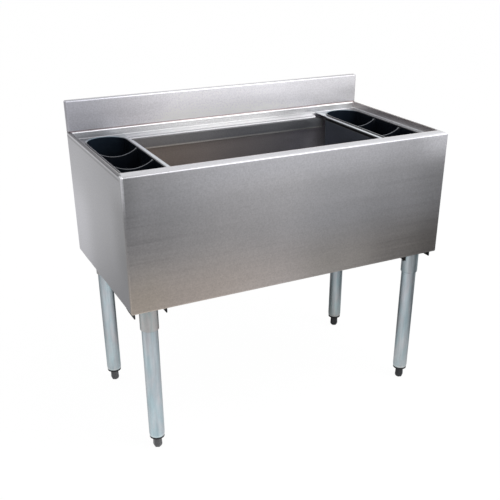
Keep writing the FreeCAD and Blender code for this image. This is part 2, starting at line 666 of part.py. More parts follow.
def bottle_tray(end, side):
    """Sheet on the ledge with a long hole for the bottle well and a wall towards the ice."""
    body = new_body(f"bottle_tray_{end}")
    tag = f"tray_{end}"
    edge = from_end(side, TRAY_REACH)
    edge_inside = from_end(side, f"{TRAY_REACH} - sheet_thick")
    outer = f"{side} * ({RECESS_SIDE} - tray_gap)"
    front = f"{RECESS_FRONT} + tray_gap"
    back = f"{RECESS_BACK} - recess_round - tray_gap"
    foot = f"({FLOOR} + tray_foot_gap)"
    neck = f"({LEDGE} - tray_round)"
    wall_front = f"({OPEN_FRONT} + wall_front_gap)"
    wall_back = f"({SHELF_EDGE} - wall_back_gap)"
    neck_front = f"({wall_front} + wall_round)"
    neck_back = f"({wall_back} - wall_round)"
    block(body, f"{tag}_plate", (outer, edge, front, back), LEDGE, "sheet_thick")
    block(body, f"{tag}_neck", (edge_inside, edge, neck_front, neck_back), neck, f"{SEAT} - {neck}")
    wall = new_sketch(body, f"{tag}_wall", "XY_Plane", foot)
    hanging_wall(wall, side, wall_front, wall_back)
    pad(body, wall, f"{neck} - {foot}")
    relief = from_end(side, f"{TRAY_REACH} - tray_round - tray_relief")
    past = from_end(side, f"{TRAY_REACH} + cut_over")
    notches = {"front": (f"{front} - cut_over", neck_front), "back": (neck_back, f"{back} + cut_over")}
    for place, ends in notches.items():
        hollow(body, f"{tag}_relief_{place}", (relief, past, *ends), SEAT, "sheet_thick")
    round_edges(body, f"{tag}_bend", "tray_round", {"x": edge, "z": SEAT})
    round_edges(body, f"{tag}_inner_bend", "tray_round - sheet_thick", {"x": edge_inside, "z": LEDGE})
    hole = new_sketch(body, f"{tag}_hole", "XY_Plane", SEAT)
    obround(hole, well_middle(side), WELL_FRONT_ARC, WELL_BACK_ARC,
            "well_width / 2 + well_wall + well_seat_gap")
    pocket(body, hole, "sheet_thick")
    return body


def well_compartments(sketch, side):
    """Draw the three bottle spaces between the round ends and the dividers."""
    middle = well_middle(side)
    left = f"{middle} - well_width / 2"
    right = f"{middle} + well_width / 2"
    gap = "(divider_pitch / 2 + divider_thick / 2)"
    inner = "(divider_pitch / 2 - divider_thick / 2)"
    loop(sketch, (
        (left, WELL_FRONT_ARC), (right, WELL_FRONT_ARC),
        (right, f"{WELL_MIDDLE} - {gap}"), (left, f"{WELL_MIDDLE} - {gap}"),
    ), {0: (middle, WELL_FRONT_ARC, 1)})
    rectangle(sketch, left, right, f"{WELL_MIDDLE} - {inner}", f"{WELL_MIDDLE} + {inner}")
    loop(sketch, (
        (left, f"{WELL_MIDDLE} + {gap}"), (right, f"{WELL_MIDDLE} + {gap}"),
        (right, WELL_BACK_ARC), (left, WELL_BACK_ARC),
    ), {2: (middle, WELL_BACK_ARC, 1)})


def saddle(sketch, side, top):
    """Draw the region above a divider edge, which sags as one arc from wall to wall."""
    middle = well_middle(side)
    left = f"{middle} - well_width / 2"
    right = f"{middle} + well_width / 2"
    start = f"({top} - saddle_start)"
    bend = "((well_width / 2) ^ 2 + saddle_depth ^ 2) / (2 * saddle_depth)"
    loop(sketch, (
        (left, start), (right, start), (right, f"{top} + cut_over"), (left, f"{top} + cut_over"),
    ), {0: (middle, f"{start} - saddle_depth + {bend}", 1)})


def bottle_well(end, side):
    """Moulded insert for three bottles that hangs in a tray by its rim."""
    body = new_body(f"bottle_well_{end}")
    tag = f"well_{end}"
    middle = well_middle(side)
    top = f"({SEAT} + well_rim_thick)"
    shell = new_sketch(body, f"{tag}_shell", "XY_Plane", SEAT)
    obround(shell, middle, WELL_FRONT_ARC, WELL_BACK_ARC, "well_width / 2 + well_wall")
    pad(body, shell, WELL_DEPTH, down=True, taper="-well_draft")
    rim = new_sketch(body, f"{tag}_rim", "XY_Plane", SEAT)
    obround(rim, middle, WELL_FRONT_ARC, WELL_BACK_ARC, "well_width / 2 + well_wall + well_rim")
    pad(body, rim, "well_rim_thick")
    round_edges(body, f"{tag}_rim_round", "well_rim_round", {"z": top})
    spaces = new_sketch(body, f"{tag}_spaces", "XY_Plane", top)
    well_compartments(spaces, side)
    pocket(body, spaces, f"{WELL_DEPTH} + well_rim_thick - well_wall", taper="-well_draft")
    dip = new_sketch(body, f"{tag}_dip", "XZ_Plane", f"-{WELL_MIDDLE}")
    saddle(dip, side, top)
    pocket(body, dip, "divider_pitch + 2 * divider_thick", both=True)
    return body


# Legs.


def at_leg(side, depth):
    """Return the X and Y formulas of a leg axis."""
    return f"{side} * ({RIGHT} - leg_side)", f"{depth} * ({BACK} - leg_front)"


def leg_gusset(name, side, depth):
    """Folded channel under a corner of the bin."""
    body = new_body(f"leg_gusset_{name}")
    tag = f"gusset_{name}"
    outer = from_end(side, GUSSET_SIDE)
    inner = from_end(side, f"{GUSSET_SIDE} + gusset_width")
    near = f"{depth} * ({BACK} - {GUSSET_FRONT})"
    full = f"{depth} * ({BACK} - {GUSSET_FRONT} - gusset_full)"
    far = f"{depth} * ({BACK} - {GUSSET_FRONT} - gusset_length)"
    foot = f"(apron_bottom - {'gusset_drop' if depth < 0 else 'gusset_rear_drop'})"
    block(body, f"{tag}_web", (outer, inner, near, far), GUSSET_UNDER, "gusset_thick")
    for place, edge in (("outer", outer), ("inner", f"{inner} + {side} * gusset_thick")):
        sketch = new_sketch(body, f"{tag}_{place}", "YZ_Plane", edge)
        loop(sketch, (
            (near, PAN), (far, PAN), (far, "apron_bottom - gusset_tail"), (full, foot), (near, foot),
        ))
        pad(body, sketch, "gusset_thick", down=side > 0)
    return body


def leg_socket(name, side, depth):
    """Round socket welded under a gusset, with a hole for the set screw."""
    body = new_body(f"leg_socket_{name}")
    inside = "(tube_dia / 2 + socket_gap)"
    end = "(apron_bottom - socket_drop)"
    turned(body, f"socket_{name}", (
        (inside, f"{end} + socket_bevel"),
        (f"{SOCKET_RADIUS} - socket_bevel", end),
        (SOCKET_RADIUS, f"{end} + socket_bevel"),
        (SOCKET_RADIUS, GUSSET_UNDER),
        (inside, GUSSET_UNDER),
    ))
    hole = new_sketch(body, f"socket_hole_{name}", "YZ_Plane", "0")
    ring(hole, "0", f"{end} + screw_rise", "screw_dia / 2 + screw_gap")
    pocket(body, hole, f"2 * {SOCKET_RADIUS}", forward=side < 0)
    place(body, *at_leg(side, depth), "0")
    return body


def set_screw(name, side, depth):
    """Socket set screw that bears on a leg tube from the middle of the bin."""
    x, y = at_leg(side, depth)
    z = "apron_bottom - socket_drop + screw_rise"
    turn = FreeCAD.Rotation(FreeCAD.Vector(0, 1, 0), -90 * side)
    shank = doc.addObject("Part::Cylinder", f"screw_shank_{name}")
    shank.setExpression("Radius", bound("screw_dia / 2"))
    shank.setExpression("Height", bound(f"{SOCKET_RADIUS} - tube_dia / 2 + screw_proud"))
    shank.Placement.Rotation = turn
    place(shank, f"{x} - {side} * tube_dia / 2", y, z)
    key = doc.addObject("Part::Prism", f"screw_key_{name}")
    key.Polygon = 6
    key.setExpression("Circumradius", bound("screw_hex / 2"))
    key.setExpression("Height", bound("screw_hex_depth"))
    key.Placement.Rotation = turn
    place(key, f"{x} - {side} * ({SOCKET_RADIUS} + screw_proud - screw_hex_depth)", y, z)
    screw = doc.addObject("Part::Cut", f"set_screw_{name}")
    screw.Base = shank
    screw.Tool = key
    return screw


def leg_set_screws():
    """The four set screws of the leg sockets."""
    group = doc.addObject("Part::Compound", "leg_set_screws")
    group.Label = "leg_set_screws"
    group.Links = [set_screw(*leg) for leg in LEGS]
    return group


def leg_tube(name, side, depth):
    """Leg tube with a slightly drawn in lower end."""
    body = new_body(f"leg_tube_{name}")
    top = f"({GUSSET_UNDER} - tube_head_gap)"
    turned(body, f"tube_{name}", (
        (f"{TUBE_BORE} - tube_swage", TUBE_END),
        ("tube_dia / 2 - tube_swage", TUBE_END),
        ("tube_dia / 2", f"{TUBE_END} + tube_swage_height"),
        ("tube_dia / 2", top),
        (TUBE_BORE, top),
        (TUBE_BORE, f"{TUBE_END} + tube_swage_height"),
    ))
    place(body, *at_leg(side, depth), "0")
    return body


def foot_insert(name, side, depth):
    """Plug in the lower end of a leg tube, bored for the foot stud."""
    body = new_body(f"foot_insert_{name}")
    hole = "(stud_dia / 2 + stud_gap)"
    plug = f"({TUBE_BORE} - tube_swage - insert_gap)"
    turned(body, f"insert_{name}", (
        (hole, "foot_height"),
        ("tube_dia / 2 - tube_swage", "foot_height"),
        ("tube_dia / 2 - tube_swage", TUBE_END),
        (plug, TUBE_END),
        (plug, f"{TUBE_END} + insert_plug"),
        (hole, f"{TUBE_END} + insert_plug"),
    ))
    place(body, *at_leg(side, depth), "0")
    return body


def bullet_foot(name, side, depth):
    """Hexagonal foot with a bevelled end, on a stud that screws into the insert."""
    body = new_body(f"bullet_foot_{name}")
    outline = new_sketch(body, f"foot_outline_{name}", "XY_Plane", "foot_height")
    hexagon(outline, "foot_across")
    pad(body, outline, "foot_height", down=True, taper="foot_flare")
    outside = "foot_bevel_dia + foot_across"
    turned(body, f"foot_bevel_{name}", (
        ("foot_tip_dia / 2", "0"),
        ("foot_bevel_dia / 2", "foot_bevel"),
        (outside, "foot_bevel"),
        (outside, "0"),
    ), cut=True)
    stud = new_sketch(body, f"foot_stud_{name}", "XY_Plane", "foot_height")
    ring(stud, "0", "0", "stud_dia / 2")
    pad(body, stud, "stud_length")
    place(body, *at_leg(side, depth), "0")
    return body


LEG_PIECES = (leg_gusset, leg_socket, leg_tube, foot_insert, bullet_foot)


def build_nodes():
    """Build every sub-part and return the list."""
    nodes = [outer_jacket(), top_deck(), backsplash(), back_panel(), bottom_pan(), ice_liner(), insulation()]
    nodes += [drain_body(), drain_gasket(), drain_locknut(), drain_strainer()]
    for end, side in ENDS:
        nodes += [bottle_tray(end, side), bottle_well(end, side)]
    for leg in LEGS:
        nodes += [piece(*leg) for piece in LEG_PIECES]
    nodes.append(leg_set_screws())
    doc.recompute()
    return nodes


def check_document(nodes):
    """Stop when a feature failed or a solid is not sound."""
    for item in doc.Objects:
        if "Invalid" in item.State or "Error" in item.State:
            raise RuntimeError(f"{item.Name} did not build: {item.State}")
    for node in nodes:
        if node.Shape.isNull() or not node.Shape.isValid() or not node.Shape.Solids:
            raise RuntimeError(f"{node.Label} has no sound solid")


def write_nodes(nodes):
    """Write each sub-part to its own file."""
    os.makedirs("parts", exist_ok=True)
    for node in nodes:
        node.Shape.exportStep(f"parts/{node.Label}.step")


fill_sheet()
all_nodes = build_nodes()
check_document(all_nodes)
write_nodes(all_nodes)
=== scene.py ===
import logging
import math
from dataclasses import dataclass, replace
from enum import Enum
from functools import cache, cached_property
from typing import Any, Iterable

import bmesh
import bpy
import numpy as np
from mathutils import Matrix, Vector


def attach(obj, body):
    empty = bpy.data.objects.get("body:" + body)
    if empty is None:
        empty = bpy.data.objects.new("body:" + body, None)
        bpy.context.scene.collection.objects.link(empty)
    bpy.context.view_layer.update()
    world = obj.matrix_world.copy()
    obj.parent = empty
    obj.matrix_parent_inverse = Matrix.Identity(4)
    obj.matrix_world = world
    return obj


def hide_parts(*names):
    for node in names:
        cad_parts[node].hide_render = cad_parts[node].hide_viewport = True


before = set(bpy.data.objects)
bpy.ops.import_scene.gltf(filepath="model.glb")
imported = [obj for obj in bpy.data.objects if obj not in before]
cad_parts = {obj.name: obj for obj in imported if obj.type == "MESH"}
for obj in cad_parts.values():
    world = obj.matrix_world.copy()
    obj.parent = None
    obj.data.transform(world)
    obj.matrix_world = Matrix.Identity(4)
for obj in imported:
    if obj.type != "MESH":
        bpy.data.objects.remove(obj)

log = logging.getLogger("ice_bin")
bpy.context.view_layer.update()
MM = 0.001
# Turn of each foot's hexagon about its leg, in degrees
LEGS = {"front_left": -27.0, "front_right": -20.0, "rear_left": -33.0, "rear_right": -24.0}
Triple = tuple[float, float, float]
Colour = Triple
Run = tuple[np.ndarray, ...]


def grey(level: float) -> Colour:
    """Return a neutral colour."""
    return level, level, level


def quarter(steps: int) -> np.ndarray:
    """Return angles over a quarter of a turn."""
    return np.linspace(0, math.pi / 2, steps + 1)


def circle(steps: int) -> np.ndarray:
    """Return angles evenly round a whole turn."""
    return np.linspace(0, 2 * math.pi, steps, endpoint=False)


class Grain(Enum):
    """Direction of the polishing lines on a sheet."""

    ALONG_X = (2.2, 420.0, 420.0)
    ALONG_Y = (420.0, 2.2, 420.0)
    ALONG_Z = (420.0, 420.0, 2.2)


class Sock:
    """A shader value; Python arithmetic on it adds Math nodes."""

    def __init__(self, tree: "ShaderTree", socket: bpy.types.NodeSocket | None) -> None:
        """Keep the tree and the output socket that holds the value."""
        self.tree = tree
        self.socket = socket

    def _math(self, operation: str, *values: Any) -> "Sock":
        """Return the result of a Math node on operands in order."""
        return self.tree.node("ShaderNodeMath", {"operation": operation}, dict(enumerate(values)))

    def __add__(self, other: Any) -> "Sock":
        """Return self + other."""
        return self._math("ADD", self, other)

    def __radd__(self, other: Any) -> "Sock":
        """Return other + self."""
        return self._math("ADD", other, self)

    def __sub__(self, other: Any) -> "Sock":
        """Return self - other."""
        return self._math("SUBTRACT", self, other)

    def __rsub__(self, other: Any) -> "Sock":
        """Return other - self."""
        return self._math("SUBTRACT", other, self)

    def __mul__(self, other: Any) -> "Sock":
        """Return self * other."""
        return self._math("MULTIPLY", self, other)

    def __rmul__(self, other: Any) -> "Sock":
        """Return other * self."""
        return self._math("MULTIPLY", other, self)

    def __truediv__(self, other: Any) -> "Sock":
        """Return self / other."""
        return self._math("DIVIDE", self, other)

    def __rtruediv__(self, other: Any) -> "Sock":
        """Return other / self."""
        return self._math("DIVIDE", other, self)

    def __pow__(self, other: Any) -> "Sock":
        """Return self to the power of other."""
        return self._math("POWER", self, other)

    def __rpow__(self, other: Any) -> "Sock":
        """Return other to the power of self."""
        return self._math("POWER", other, self)

    def __neg__(self) -> "Sock":
        """Return -self."""
        return self._math("MULTIPLY", self, -1.0)

    def clamped(self) -> "Sock":
        """Return the value held between 0 and 1."""
        return self.tree.node("ShaderNodeClamp", None, {"Value": self})


class ShaderTree:
    """The shader of a material or a world under construction."""

    def __init__(self, owner: bpy.types.Material | bpy.types.World) -> None:
        """Start with no node.

        Args:
            owner: Material or world that holds the shader.
        """
        owner.use_nodes = True
        self.owner = owner
        self.nodes = owner.node_tree.nodes
        self.links = owner.node_tree.links
        self.nodes.clear()

    @classmethod
    def named(cls, name: str) -> "ShaderTree":
        """Return the tree of a new material."""
        return cls(bpy.data.materials.new(name))

    def node(
        self,
        kind: str,
        settings: dict[str, Any] | None = None,
        inputs: dict[str | int, Any] | None = None,
        output: str | int = 0,
    ) -> Sock:
        """Add a node.

        Args:
            kind: Blender's type name of the node.
            settings: Properties that are set first.
            inputs: Values or links of the sockets by name or number.
            output: Name or number of the output to return.

        Returns:
            The chosen output, empty for a node without outputs.
        """
        made = self.nodes.new(kind)
        for key, setting in (settings or {}).items():
            setattr(made, key, setting)
        for key, given in (inputs or {}).items():
            if isinstance(given, Sock):
                self.links.new(given.socket, made.inputs[key])
            else:
                made.inputs[key].default_value = given
        return Sock(self, made.outputs[output] if len(made.outputs) else None)

    @cached_property
    def place(self) -> Sock:
        """Return the Object coordinates, in metres."""
        return self.node("ShaderNodeTexCoord", None, None, "Object")

    def axis(self, name: str) -> Sock:
        """Return one of the Object coordinates."""
        return self.node("ShaderNodeSeparateXYZ", None, {0: self.place}, name)

    def ray(self, kind: str) -> Sock:
        """Return 1 for rays of one kind."""
        return self.node("ShaderNodeLightPath", None, None, f"Is {kind} Ray")

    def mirror(self) -> Sock:
        """Return 1 for rays of a mirror or glass."""
        return (self.ray("Glossy") + self.ray("Transmission")).clamped()

    def product(self, first: Any, second: Any) -> Sock:
        """Return two colours or vectors multiplied part by part."""
        return self.node("ShaderNodeVectorMath", {"operation": "MULTIPLY"}, {0: first, 1: second})

    def noise(self, scale: float | Triple, detail: float = 2.0, rough: float = 0.5) -> Sock:
        """Return smooth noise round 0.

        Args:
            scale: Features per metre, the same in all directions or one along each axis.
            detail: Octaves.
            rough: Weight of the finer octaves.

        Returns:
            The noise value less its mean.
        """
        place = self.product(self.place, np.broadcast_to(scale, 3).tolist())
        inputs = {"Vector": place, "Scale": 1.0, "Detail": detail, "Roughness": rough}
        return self.node("ShaderNodeTexNoise", {"noise_dimensions": "3D"}, inputs) - 0.5

    def cells(self, scale: float, output: str) -> Sock:
        """Return the colour or the distance of a pattern of cells."""
        inputs = {"Vector": self.place, "Scale": scale}
        return self.node("ShaderNodeTexVoronoi", {"feature": "F1"}, inputs, output)

    def smooth(self, value: Sock, start: float, end: float, top: float = 1.0) -> Sock:
        """Return a step that goes smoothly from 0 at the start of a value to the top at its end."""
        inputs = {"Value": value, "From Min": start, "From Max": end, "To Max": top}
        return self.node("ShaderNodeMapRange", {"interpolation_type": "SMOOTHSTEP"}, inputs)

    def blend(self, factor: Sock, first: Colour, second: Colour) -> Sock:
        """Return a colour that goes from the first at factor 0 to the second at factor 1."""
        inputs = {0: factor, 6: (*first, 1.0), 7: (*second, 1.0)}
        return self.node("ShaderNodeMix", {"data_type": "RGBA", "clamp_factor": True}, inputs, 2)

    def bump(self, height: Sock, strength: float, distance: float) -> Sock:
        """Return the normal of a surface raised by a height value."""
        inputs = {"Height": height, "Strength": strength, "Distance": distance}
        return self.node("ShaderNodeBump", None, inputs)

    def finish(self, **inputs: Any) -> bpy.types.Material:
        """Close the material with a Principled shader.

        Args:
            inputs: Socket values or links; an underscore in a name stands for a blank.

        Returns:
            The finished material.
        """
        sockets = {name.replace("_", " "): given for name, given in inputs.items()}
        shader = self.node("ShaderNodeBsdfPrincipled", None, sockets)
        self.node("ShaderNodeOutputMaterial", None, {"Surface": shader})
        return self.owner


@dataclass(frozen=True)
class Wash:
    """A change of tone along one axis: a tint that sets in from one place to another, in millimetres."""

    axis: str
    start: float
    end: float
    tint: Colour = grey(1.0)
    gate: "Wash | None" = None

    def share(self, tree: ShaderTree) -> Sock:
        """Return 0 before the start to 1 past the end, times the share of the gate."""
        own = tree.smooth(tree.axis(self.axis), self.start * MM, self.end * MM)
        return own * self.gate.share(tree) if self.gate else own


def washed(tree: ShaderTree, colour: Sock, washes: Iterable[Wash]) -> Sock:
    """Return a colour with washes over it.

    Args:
        tree: Material under construction.
        colour: Colour below.
        washes: Washes in order.

    Returns:
        The colour times the tint of each wash, as far as that has set in from white.
    """
    for wash in washes:
        colour = tree.product(colour, tree.blend(wash.share(tree), grey(1.0), wash.tint))
    return colour


@dataclass(frozen=True)
class BrushedSteel:
    """Stainless sheet with fine polishing lines, speckle, faint clouds and a soft sheen."""

    name: str
    tint: Colour
    grain: Grain = Grain.ALONG_X
    roughness: float = 0.36
    washes: tuple[Wash, ...] = ()
    # A wash that takes the shine off, so that a bright colour there reads as lit: painted light.
    light_fill: Wash | None = None
    light_fill_loss: float = 0.4
    streak: float = 0.14
    streak_roughness: float = 0.14
    speckle: float = 0.40
    speckle_scale: float = 260.0
    cloud: float = 0.10
    cloud_roughness: float = 0.08
    cloud_scale: float = 5.0
    bump: float = 0.05
    depth: float = 0.0004

    @cache
    def material(self) -> bpy.types.Material:
        """Return the material of the sheet.

        Returns:
            Colour = tint x (1 + lines + speckle + clouds) x washes; the light fill takes from the metal, so
            that a bright colour there reads as lit: painted light.
        """
        tree = ShaderTree.named(self.name)
        lines = tree.noise(self.grain.value, 3.0, 0.6)
        speckle = tree.noise(self.speckle_scale)
        clouds = tree.noise(self.cloud_scale)
        tone = 1.0 + lines * self.streak + speckle * self.speckle + clouds * self.cloud
        colour = tree.node("ShaderNodeVectorMath", {"operation": "SCALE"}, {0: self.tint, "Scale": tone})
        return tree.finish(
            Base_Color=washed(tree, colour, self.washes),
            Roughness=self.roughness + lines * self.streak_roughness + clouds * self.cloud_roughness,
            Metallic=1.0 - self.light_fill.share(tree) * self.light_fill_loss if self.light_fill else 1.0,
            Normal=tree.bump(lines, self.bump, self.depth),
        )


@dataclass(frozen=True)
class Galvanised:
    """Zinc coated tube: pale blue-grey with upright streaks, faint spangle and a play of hue."""

    name: str
    light: Colour = (0.59, 0.66, 0.695)
    dark: Colour = (0.385, 0.45, 0.485)
    washes: tuple[Wash, ...] = ()
    roughness: float = 0.30
    metallic: float = 0.85
    streak: float = 2.0
    streak_scale: Triple = (95.0, 95.0, 9.0)
    fleck: float = 0.10
    fleck_roughness: float = 0.05
    fleck_scale: float = 160.0
    play: float = 2.4
    play_scale: Triple = (60.0, 60.0, 16.0)
    cool: Colour = (0.92, 1.02, 1.04)
    warm: Colour = (1.10, 1.0, 1.0)
    bump: float = 0.06
    depth: float = 0.0006

    @cache
    def material(self) -> bpy.types.Material:
        """Return the material of the tube.

        Returns:
            Colour = dark to light by streaks along Z and a fine spangle, x hue x washes.
        """
        tree = ShaderTree.named(self.name)
        streaks = tree.noise(self.streak_scale, 3.0, 0.6)
        spangle = tree.cells(self.fleck_scale, "Color")
        fleck = tree.node("ShaderNodeSeparateColor", None, {0: spangle}) - 0.5
        play = tree.noise(self.play_scale)
        hue = tree.blend((0.5 + play * self.play).clamped(), self.cool, self.warm)
        mix = 0.5 + streaks * self.streak + fleck * self.fleck
        zinc = tree.product(tree.blend(mix.clamped(), self.dark, self.light), hue)
        return tree.finish(
            Base_Color=washed(tree, zinc, self.washes),
            Roughness=self.roughness + fleck * self.fleck_roughness,
            Metallic=self.metallic,
            Normal=tree.bump(streaks, self.bump, self.depth),
        )


@dataclass(frozen=True)
class Moulded:
    """Moulded plastic with a fine pebble and worn patches."""

    name: str
    colour: Colour
    worn: Colour
    roughness: float
    gloss: float = 0.5
    washes: tuple[Wash, ...] = ()
    patch: float = 1.4
    patch_shift: float = 0.05
    patch_roughness: float = 0.14
    patch_scale: float = 28.0
    pebble: float = 0.04
    pebble_scale: float = 900.0
    depth: float = 0.0003

    @cache
    def material(self) -> bpy.types.Material:
        """Return the material of the plastic.

        Returns:
            Colour and worn colour mixed by patchy noise, x washes.
        """
        tree = ShaderTree.named(self.name)
        patches = tree.noise(self.patch_scale, 4.0, 0.6)
        share = ((patches + self.patch_shift) * self.patch).clamped()
        colour = tree.blend(share, self.colour, self.worn)
        return tree.finish(
            Base_Color=washed(tree, colour, self.washes),
            Roughness=self.roughness + patches * self.patch_roughness,
            Metallic=0.0,
            Specular_IOR_Level=self.gloss,
            Normal=tree.bump(tree.noise(self.pebble_scale), self.pebble, self.depth),
        )


@dataclass(frozen=True)
class Foam:
    """Cellular foam with open bubbles at its cut faces."""

    name: str
    body: Colour = (0.86, 0.78, 0.55)
    bubble: Colour = (0.68, 0.58, 0.36)
    scale: float = 420.0
    roughness: float = 0.9
    bump: float = 0.4
    depth: float = 0.001

    @cache
    def material(self) -> bpy.types.Material:
        """Return the material of the foam.

        Returns:
            Bubbles from a cell pattern over a yellowish body.
        """
        tree = ShaderTree.named(self.name)
        cells = tree.cells(self.scale, "Distance")
        return tree.finish(
            Base_Color=tree.blend(cells, self.body, self.bubble),
            Roughness=self.roughness,
            Metallic=0.0,
            Normal=tree.bump(cells, self.bump, self.depth),
        )


Finish = BrushedSteel | Galvanised | Moulded | Foam


@dataclass(frozen=True)
class Pools:
    """Soft patches of lighter or darker floor, as polished metal shows them; places in metres."""

    reach: tuple[float, float]
    spots: tuple[Triple, ...]

    def value(self, tree: ShaderTree) -> Sock:
        """Return the change of level over the floor.

        Args:
            tree: Floor material under construction.

        Returns:
            The sum of each spot's change x e to the power of minus its squared distance in reaches.
        """
        level = 0.0
        for x, y, change in self.spots:
            across = (tree.axis("X") - x) / self.reach[0]
            along = (tree.axis("Y") - y) / self.reach[1]
            level = level + change * math.e ** -(across * across + along * along)
        return level


@dataclass(frozen=True)
class Lamp:
    """A soft square lamp that points at the bin."""

    name: str
    place: Triple
    size: float
    watts: float

    def hang(self, aim: Vector) -> None:
        """Hang the lamp and point it at a place.

        Args:
            aim: Place to point at.
        """
        data = bpy.data.lights.new(self.name, "AREA")
        data.size = self.size
        data.energy = self.watts
        lamp = bpy.data.objects.new(self.name, data)
        lamp.location = self.place
        lamp.rotation_mode = "QUATERNION"
        lamp.rotation_quaternion = (aim - lamp.location).to_track_quat("-Z", "Y")
        lamp.visible_camera = False
        bpy.context.scene.collection.objects.link(lamp)


@dataclass
class Studio:
    """Floor, light and the camera of the photograph; places in metres, turns in degrees."""

    focal_px: float = 763.165
    frame_px: float = 500.0
    centre_px: tuple[float, float] = (260.71, 305.82)
    yaw: float = 26.9755
    pitch: float = 26.5788
    roll: float = 0.1093
    station: Triple = (-0.92112, -1.83145, 1.2739)
    sensor: float = 36.0
    clip: float = 0.05
    floor_reach: float = 40.0
    floor_drop: float = 0.0004
    floor_matt: float = 0.86
    floor_shown: float = 1.035
    floor_shown_share: float = 0.93
    floor_level: float = 0.55
    apron_pools: Pools = Pools((0.55, 0.6), (
        (-0.3, -0.8, 0.39), (0.4, -0.8, 0.12), (1.1, -0.8, -0.42),
        (-0.3, -1.5, -0.53), (0.4, -1.5, -0.06), (1.1, -1.5, -0.26), (1.8, -1.5, -0.41),
        (-0.3, -2.4, -0.28), (0.4, -2.4, -0.49), (1.1, -2.4, 0.84), (1.8, -2.4, -0.46), (2.6, -2.4, -0.44),
    ))
    end_pools: Pools = Pools((0.6, 0.55), (
        (-0.9, 0.6, -0.28), (-0.9, 1.2, 0.11), (-0.9, 1.9, 0.17), (-0.9, 2.8, 0.23),
    ))
    leg_pools: Pools = Pools((0.4, 0.4), (
        (-0.5, -0.4, 0.31), (0.9, 0.0, -0.48), (0.2, 0.4, -0.56), (-1.0, 0.1, 0.49),
    ))
    fill: float = 0.6
    glow_towards: Triple = (0.41, 0.80, 0.44)
    glow_start: float = 0.2
    glow_gain: float = 0.70
    sky_level: float = 1.01
    lamps: tuple[Lamp, ...] = (
        Lamp("key", (0.9, -1.3, 2.8), 1.8, 23.0),
        Lamp("front", (1.9, -3.0, 1.5), 2.4, 25.9),
    )
    aim: Triple = (0.0, 0.0, 0.6)

    def camera(self) -> None:
        """Set up the camera from its solved station, turn and image centre."""
        data = bpy.data.cameras.new("camera")
        data.sensor_width = self.sensor
        data.lens = self.focal_px / self.frame_px * self.sensor
        data.shift_x = (self.frame_px / 2 - self.centre_px[0]) / self.frame_px
        data.shift_y = (self.centre_px[1] - self.frame_px / 2) / self.frame_px
        data.clip_start = self.clip
        camera = bpy.data.objects.new("camera", data)
        yaw, pitch, roll = map(math.radians, (self.yaw, self.pitch, self.roll))
        ahead = Vector((math.sin(yaw) * math.cos(pitch), math.cos(yaw) * math.cos(pitch), -math.sin(pitch)))
        level = Vector((math.cos(yaw), -math.sin(yaw), 0.0))
        upward = level.cross(ahead)
        right = math.cos(roll) * level + math.sin(roll) * upward
        above = math.cos(roll) * upward - math.sin(roll) * level
        turn = Matrix((right, above, -ahead)).transposed().to_4x4()
        camera.matrix_world = Matrix.Translation(self.station) @ turn
        bpy.context.scene.collection.objects.link(camera)
        bpy.context.scene.camera = camera

    def floor(self) -> None:
        """Lay a pale floor that shows white, keeps a soft shadow and has light and dark pools in metal."""
        far, low = self.floor_reach, -self.floor_drop
        corners = [(-far, -far, low), (far, -far, low), (far, far, low), (-far, far, low)]
        mesh = bpy.data.meshes.new("floor")
        mesh.from_pydata(corners, [], [(0, 1, 2, 3)])
        floor = bpy.data.objects.new("floor", mesh)
        bpy.context.scene.collection.objects.link(floor)
        tree = ShaderTree.named("floor_white")
        groups = self.apron_pools, self.end_pools, self.leg_pools
        level = sum((group.value(tree) for group in groups), self.floor_level)
        matt = tree.node("ShaderNodeBsdfDiffuse", None, {"Color": (*grey(self.floor_matt), 1.0)})
        shown, mirrored = (
            tree.node("ShaderNodeEmission", None, {"Color": colour})
            for colour in ((*grey(self.floor_shown), 1.0), level)
        )
        share = tree.ray("Camera") * self.floor_shown_share
        direct = tree.node("ShaderNodeMixShader", None, {0: share, 1: matt, 2: shown})
        both = tree.node("ShaderNodeMixShader", None, {0: tree.mirror(), 1: direct, 2: mirrored})
        tree.node("ShaderNodeOutputMaterial", None, {"Surface": both})
        mesh.materials.append(tree.owner)

    def sky(self) -> None:
        """Fill the room with even light, white to the camera and brightest behind the bin in metal."""
        tree = ShaderTree(bpy.data.worlds.new("room"))
        facing = tree.node(
            "ShaderNodeVectorMath", {"operation": "DOT_PRODUCT"},
            {0: tree.node("ShaderNodeTexCoord", None, None, "Generated"), 1: self.glow_towards}, "Value",
        )
        glow = tree.smooth(facing, self.glow_start, 1.0, self.glow_gain)
        level = self.fill + tree.ray("Camera") * (1.0 - self.fill)
        level = level + tree.mirror() * (self.sky_level - self.fill + glow)
        light = tree.node("ShaderNodeBackground", None, {"Color": level})
        tree.node("ShaderNodeOutputWorld", None, {"Surface": light})
        bpy.context.scene.world = tree.owner

    def build(self) -> None:
        """Set up the whole studio."""
        bpy.context.scene.view_settings.view_transform = "Standard"
        self.camera()
        self.floor()
        self.sky()
        for lamp in self.lamps:
            lamp.hang(Vector(self.aim))


